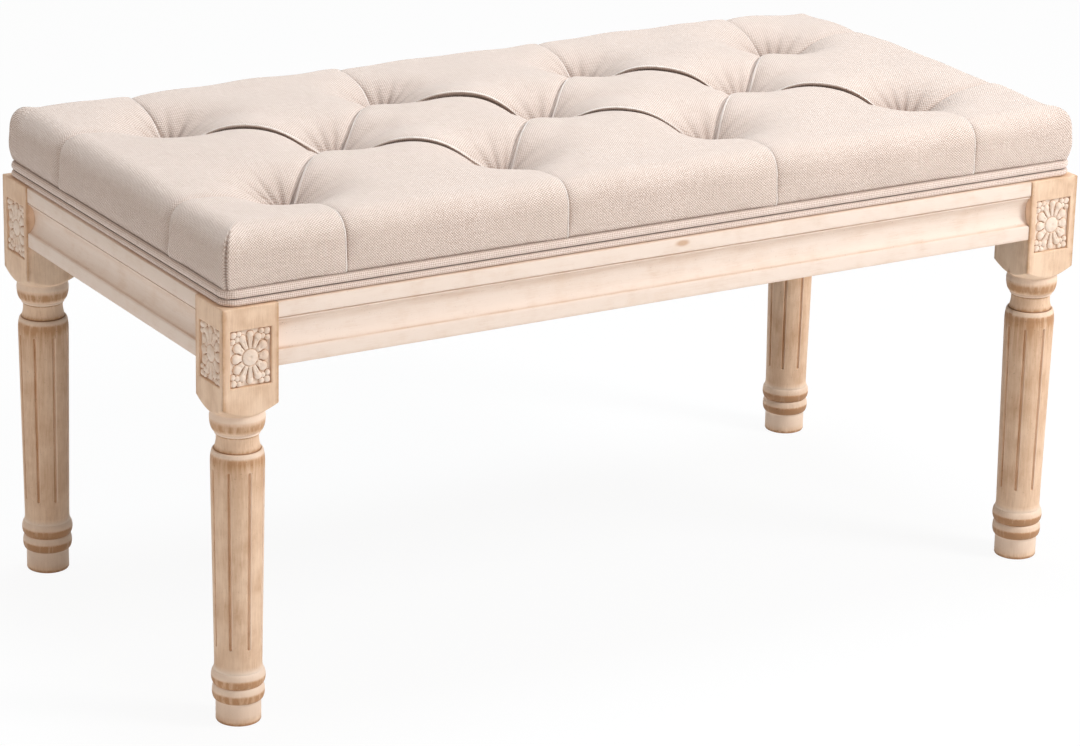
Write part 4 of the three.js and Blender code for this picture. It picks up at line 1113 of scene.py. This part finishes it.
    def skin(self, stride, drop, lapped):
        """Points, triangles, sheet places, fold marks with painted highlight and shade, the foot of the wall, and
        the weave at each face corner.
        """
        tops = [lines[self.rings:-self.rings] for lines in self.lines]
        xs, ys = (thinned(lines, span, stride) for lines, span in zip(tops, self.span))
        flat = np.stack(np.meshgrid(xs, ys), -1).reshape(-1, 2)
        count = len(flat)
        base = np.column_stack([flat, self.plain_top(*flat.T)])
        layers = [(flat, base, np.tile([0.0, 0, 1], (count, 1)), np.ones(count), np.zeros(count),
                   np.zeros(count, bool))]
        weave = [np.stack([flat, flat])]
        faces = [lattice_triangles(xs, ys, self.span, self.step)]
        above, turns = rim_walk(len(xs), len(ys), CORNER_STEPS // stride)
        rim = base[above]
        way = np.stack([np.cos(turns), np.sin(turns)], 1)
        size = np.abs(way)
        at_seam = bell(size[:, 0] - size[:, 1], SEAM_SPREAD)
        ear = (size.min(1) / size.max(1)) ** 1.5
        for corner, side in CORNERS.items():
            ear[(way * side > 0).all(1)] *= EAR_SHARES[corner]
        rings = self.rings // stride
        for k in range(1, rings + 1):
            gone = self.side * k / rings
            out, fall, lean = (np.interp(gone, self.section[0], part) for part in self.section[1:])
            pointed = EDGE_RISE * min(fall / EDGE_RISE, 1) ** 1.8 + max(fall - EDGE_RISE, 0)
            fall = fall + (pointed - fall) * ear
            power = (3.2 + 12 * smooth(k / rings / (0.45 - 0.15 * ear)))[:, None]
            square = (size ** power).sum(1) ** (-1 / power[:, 0])
            seam = SEAM_DEPTH * at_seam * smooth((k / rings - 0.2) / 0.12)
            spread = way * (out * square - seam)[:, None]
            face = np.sign(way) * size ** (power - 1)
            face /= np.linalg.norm(face, axis=1)[:, None]
            over_front = np.column_stack([spread[:, 0], np.sign(way[:, 1]) * gone])
            over_end = np.column_stack([np.sign(way[:, 0]) * gone, spread[:, 1]])
            weave.append(rim[:, :2] + np.stack([over_front, over_end]))
            layers.append((
                np.where((size[:, 0] > size[:, 1])[:, None], weave[-1][1], weave[-1][0]),
                np.column_stack([rim[:, :2] + spread, rim[:, 2] - fall]),
                np.column_stack([face * math.sin(lean), np.full(len(rim), math.cos(lean))]),
                np.full(len(rim), smooth((self.side - gone) / WALL_HOLD)),
                # Painted shade along the corner seam
                SEAM_PAINTED_SHADE * (seam / SEAM_DEPTH) ** 2.5,
                size[:, 0] > size[:, 1] + TINY,
            ))
            here = count + (k - 1) * len(rim) + np.arange(len(rim))
            beside = np.roll(above, -1)
            upper = np.stack([above, here, beside], 1)
            faces += [upper[above != beside], np.stack([beside, here, np.roll(here, -1)], 1)]
            above = here
        sheet, base, normal, free, seam_painted_shade, on_end = (np.concatenate(part) for part in zip(*layers))
        points = self.draw(*sheet.T, base - normal * drop, normal, free, lapped)
        marks = self.fold_marks(*sheet.T)
        # The seams' painted shade joins the folds'
        marks[:, 2] = np.maximum(marks[:, 2], seam_painted_shade)
        faces = np.concatenate(faces)
        over_front, over_end = np.concatenate(weave, 1)
        of_end = on_end[faces].any(1)
        weave = np.where(of_end[:, None, None], over_end[faces], over_front[faces])
        return points, faces, sheet, marks, above, weave


def thinned(lines, span, stride):
    """Every so many of the lines, keeping the rim and the lines through the tufts."""
    inside = lines[np.abs(lines) <= span + TINY][::stride]
    outer = lines[lines > span + TINY][::-1][::stride]
    return np.concatenate([-outer, inside, outer[::-1]])


def lattice_triangles(xs, ys, span, step):
    """Two triangles a cell, split along the lattice's own diagonals."""
    i, j = np.meshgrid(np.arange(len(xs) - 1), np.arange(len(ys) - 1))
    a = (j * len(xs) + i).ravel()
    b, c, d = a + 1, a + 1 + len(xs), a + len(xs)
    cells = [np.floor(((at[:-1] + at[1:]) / 2 + span[axis]) / step[axis]) for axis, at in enumerate((xs, ys))]
    rising = (sum(np.meshgrid(*cells)) % 2 == 0).ravel()[:, None]
    first = np.where(rising, np.stack([a, b, c], 1), np.stack([a, b, d], 1))
    second = np.where(rising, np.stack([a, c, d], 1), np.stack([b, c, d], 1))
    return np.concatenate([first, second])


def rim_walk(columns, rows, corner_steps):
    """Grid indices round the rim, anticlockwise from the corner at -X, -Y, and the turn that each faces."""
    indices, turns = [], []
    for k, ((side_x, side_y), (go_x, go_y)) in enumerate(zip(CORNERS.values(), RUNS)):
        corner = (side_y > 0) * (rows - 1) * columns + (side_x > 0) * (columns - 1)
        facing = (k + 2) % 4 * math.pi / 2
        indices += [corner] * (corner_steps + 1)
        turns += [facing + step / corner_steps * math.pi / 2 for step in range(corner_steps + 1)]
        count = (columns if go_x else rows) - 1
        indices += [corner + (go_y * columns + go_x) * step for step in range(1, count)]
        turns += [facing + math.pi / 2] * (count - 1)
    return np.array(indices), np.array(turns)


def relax(values, held, source):
    """Settles a membrane that is held at some places, by over-relaxation in a chessboard order."""
    parity = np.indices(values.shape).sum(0) % 2
    for _ in range(RELAX_ROUNDS):
        for colour in (0, 1):
            padded = np.pad(values, 1, mode="edge")
            around = padded[:-2, 1:-1] + padded[2:, 1:-1] + padded[1:-1, :-2] + padded[1:-1, 2:]
            change = (around + source) / 4 - values
            values = values + np.where((parity == colour) & ~held, OVER_RELAX * change, 0)
    return np.maximum(values, 0)


def point_normals(points, faces):
    a, b, c = (points[faces[:, k]] for k in range(3))
    flat = np.cross(b - a, c - a)
    total = np.zeros_like(points)
    for k in range(3):
        np.add.at(total, faces[:, k], flat)
    return total / np.maximum(np.linalg.norm(total, axis=1), 1e-9)[:, None]


def build_cover(seat):
    """The linen cover: an outer skin with every fold, and an inner skin one cloth's thickness inside it."""
    points, faces, sheet, marks, foot, weave = seat.skin(1, 0, True)
    inner = points - point_normals(points, faces) * CLOTH_THICKNESS
    size = seat.half - (WELT_THICKNESS - FIT - WALL_FOOT_TUCK)
    behind = points[foot]
    behind[:, :2] = np.clip(behind[:, :2], -size, size)
    bottom = behind.copy()
    bottom[:, 2] = board_low[2]
    inner_bottom = bottom.copy()
    inner_bottom[:, :2] = np.clip(bottom[:, :2], -size + CLOTH_THICKNESS, size - CLOTH_THICKNESS)
    count = len(points)
    ring = len(foot)
    hidden = [2 * count + k * ring + np.arange(ring) for k in range(3)]
    rows = [foot, *hidden, count + foot]
    extra = np.concatenate([part for upper, lower in zip(rows, rows[1:]) for part in band_faces(upper, lower)])
    faces = np.concatenate([faces, faces[:, ::-1] + count, extra])
    sheets = np.concatenate([sheet, sheet, sheet[foot], sheet[foot], sheet[foot]])
    weave = np.concatenate([weave, weave[:, ::-1], sheets[extra]]).reshape(-1, 2)
    weave = np.column_stack([weave, np.zeros(len(weave))])
    folds = np.concatenate([marks, marks, np.zeros((3 * ring, 3))])
    everything = np.concatenate([points, inner, behind, bottom, inner_bottom])
    mesh = mesh_of("tufted_linen_cover", everything, faces, {"sheet": weave, "fold": folds})
    cover = piece("tufted_linen_cover", mesh, linen, "tufted_cover")


def build_foam(seat):
    """The foam pad inside the cover, flat where it lies on the board."""
    points, faces, _, _, foot, _ = seat.skin(FOAM_STRIDE, FOAM_DROP, False)
    bottom = board_high[2] + FIT
    points[:, 2] = np.maximum(points[:, 2], bottom)
    base = np.column_stack([points[foot, :2] * FOAM_FOOT_SHARE, np.full(len(foot), bottom)])
    under = len(points) + np.arange(len(foot))
    centre = np.full(len(foot), len(points) + len(foot))
    faces = np.concatenate([faces, *band_faces(foot, under), np.stack([under, centre, np.roll(under, -1)], 1)])
    mesh = mesh_of("seat_foam", np.concatenate([points, base, [[0, 0, bottom]]]), faces)
    pad = piece("seat_foam", mesh, foam, "foam_pad")


def welt_track():
    """The middle of the turn at each point round the welt, and the way that the point faces."""
    low, high = box_mm("double_welt")
    flat = (high[:2] - low[:2]) / 2 - WELT_THICKNESS - WELT_CORNER_RADIUS
    around, turns = [], []
    for k, (side, run) in enumerate(zip(CORNERS.values(), RUNS)):
        corner = flat * side
        facing = (k + 2) * math.pi / 2
        length = 2 * flat[k % 2]
        for share in np.linspace(0, 1, 13):
            around.append(corner)
            turns.append(facing + share * math.pi / 2)
        for place in np.linspace(0, length, round(length / WELT_SPACING))[1:-1]:
            around.append(corner + np.array(run) * place)
            turns.append(facing + math.pi / 2)
    return np.array(around), np.array(turns)


def build_welt():
    """Two covered cords, one above the other, round the foot of the seat, with a line of stitches between them."""
    lower, upper = LOWER_CORD_RADIUS, UPPER_CORD_RADIUS
    section = np.array([
        (0, 0),
        *arc((WELT_THICKNESS - lower, lower), (lower, lower), -90, 84, 14),
        (STITCH_DEPTH, 2 * lower + 0.1),
        *arc((WELT_THICKNESS - upper, WELT_HEIGHT - upper), (upper, upper), -84, 90, 18),
        (0, WELT_HEIGHT),
    ])
    around, turns = welt_track()
    way = np.stack([np.cos(turns), np.sin(turns)], 1)
    track = travelled(around + way * (WELT_CORNER_RADIUS + 0.7 * WELT_THICKNESS))[:, None]
    out, up = section.T[:, None]
    waves = np.random.default_rng(11).uniform((0.02, 0), (0.12, 6), (6, 2))
    waver = sum(np.sin(track * a + c) for a, c in waves) * 0.07
    ripple = np.sin(track * 2.1 + up * 1.4) * 0.06
    depth = out * (1 + 0.02 * waver) + ripple * (out > CORD_OUT)
    reach = WELT_CORNER_RADIUS + np.minimum(depth, WELT_THICKNESS)
    x, y = (around[:, axis, None] + way[:, axis, None] * reach for axis in range(2))
    z = board_low[2] + up + 0.12 * waver * (out > CORD_OUT)
    points = np.stack([x, y, np.maximum(z, board_low[2])], -1).reshape(-1, 3)
    faces = grid_faces(len(around), len(section), looped=True)[:, ::-1]
    along, over = np.broadcast_arrays(track, travelled(section))
    sheet = np.stack([along + over, along - over, 0 * along], -1).reshape(-1, 3) * math.sqrt(0.5)
    # Painted shade where the cloth tucks in: between the cords, at the foot, and weaker at the top where the welt
    # meets the cover
    gap_painted_shade = 1 - smooth((section[:, 0] - WELT_GAP_PAINTED_SHADE) / 2.2)
    gap_painted_shade[-3:] *= WELT_TOP_PAINTED_SHADE
    shade = np.zeros((len(points), 3))
    shade[:, 2] = np.tile(gap_painted_shade, len(around))
    mesh = mesh_of("double_welt_cords", points, faces, {"sheet": sheet, "fold": shade})
    welt = piece("double_welt_cords", mesh, welt_linen, "double_welt")


def dress_inner_pieces():
    """Finishes for the CAD pieces that stay as they are."""
    finishes = {("corner_brace", "seat_board"): inner_wood, ("dust_cover",): dust_cloth, ("tuft_tie",): twine,
                ("hanger_bolt", "flange_nut", "brace_screw", "seat_screw"): steel}
    for name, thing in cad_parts.items():
        for starts, look in finishes.items():
            if name.startswith(starts):
                thing.data.materials.clear()
                thing.data.materials.append(look)


# Stage, lights and camera


def light(name, place, size, power, colour=(1, 1, 1)):
    lamp = bpy.data.lights.new(name, "AREA")
    lamp.shape = "DISK"
    lamp.size = size
    lamp.energy = power
    lamp.color = colour
    thing = linked(name, lamp)
    thing.location = place
    thing.rotation_euler = (Vector(LIGHT_AIM) - Vector(place)).to_track_quat("-Z", "Y").to_euler()


def build_stage():
    half = FLOOR_SIZE / 2
    mesh = bpy.data.meshes.new("floor")
    mesh.from_pydata([(-half, -half, 0), (half, -half, 0), (half, half, 0), (-half, half, 0)], [], [(0, 1, 2, 3)])
    look = Look("pale_floor", {"Base Color": FLOOR_TONE, "Roughness": 0.9, "Specular IOR Level": 0.1})
    glow = look.node("ShaderNodeEmission", {"Color": WHITE, "Strength": 1.0})
    plain = Signal(look, look.shader.outputs[0])
    blend = look.node("ShaderNodeMixShader", {0: look.seen() * FLOOR_GLOW, 1: plain, 2: glow})
    look.feed(look.tree.nodes["Material Output"].inputs["Surface"], blend)
    mesh.materials.append(look.material)
    floor = linked("floor", mesh)


def build_world():
    world = bpy.data.worlds.new("studio")
    world.use_nodes = True
    nodes = Nodes(world.node_tree)
    backdrop = world.node_tree.nodes["Background"]
    seen = nodes.seen()
    strength = nodes.node("ShaderNodeMapRange", {"Value": seen, "To Min": WORLD_LIGHT, "To Max": 1.0})
    nodes.feed(backdrop.inputs["Strength"], strength)
    nodes.feed(backdrop.inputs["Color"], nodes.mix(seen, WORLD_TINT, WHITE))
    bpy.context.scene.world = world


def build_camera():
    """The photograph's view: azimuth and elevation of the line of sight, a small roll, and a long lens."""
    azimuth, elevation, roll = (math.radians(turn) for turn in (CAMERA_AZIMUTH, CAMERA_ELEVATION, CAMERA_ROLL))
    forward = Vector((-math.sin(azimuth) * math.cos(elevation), math.cos(azimuth) * math.cos(elevation),
                      -math.sin(elevation)))
    level = Vector((math.cos(azimuth), math.sin(azimuth), 0))
    upright = level.cross(forward)
    right = level * math.cos(roll) + upright * math.sin(roll)
    above = upright * math.cos(roll) - level * math.sin(roll)
    data = bpy.data.cameras.new("camera")
    data.sensor_width = SENSOR
    data.lens = FOCAL_PIXELS * SENSOR / FRAME_PIXELS
    camera = linked("camera", data)
    camera.matrix_world = Matrix((right, above, -forward)).transposed().to_4x4()
    camera.location = CAMERA_PLACE
    bpy.context.scene.camera = camera


bpy.context.scene.view_settings.view_transform = "Standard"
build_camera()
build_world()
build_stage()
light("key", (1.9, -2.0, 2.3), 1.0, 77)
light("top", (0.3, 0.3, 3.4), 1.4, 68, (0.78, 0.91, 1))
light("fill", (-3.2, -0.6, 1.2), 1.6, 8, (1, 0.93, 0.86))
build_legs()
build_carvings()
build_rails()
seat = Seat()
build_cover(seat)
build_foam(seat)
build_welt()
dress_inner_pieces()
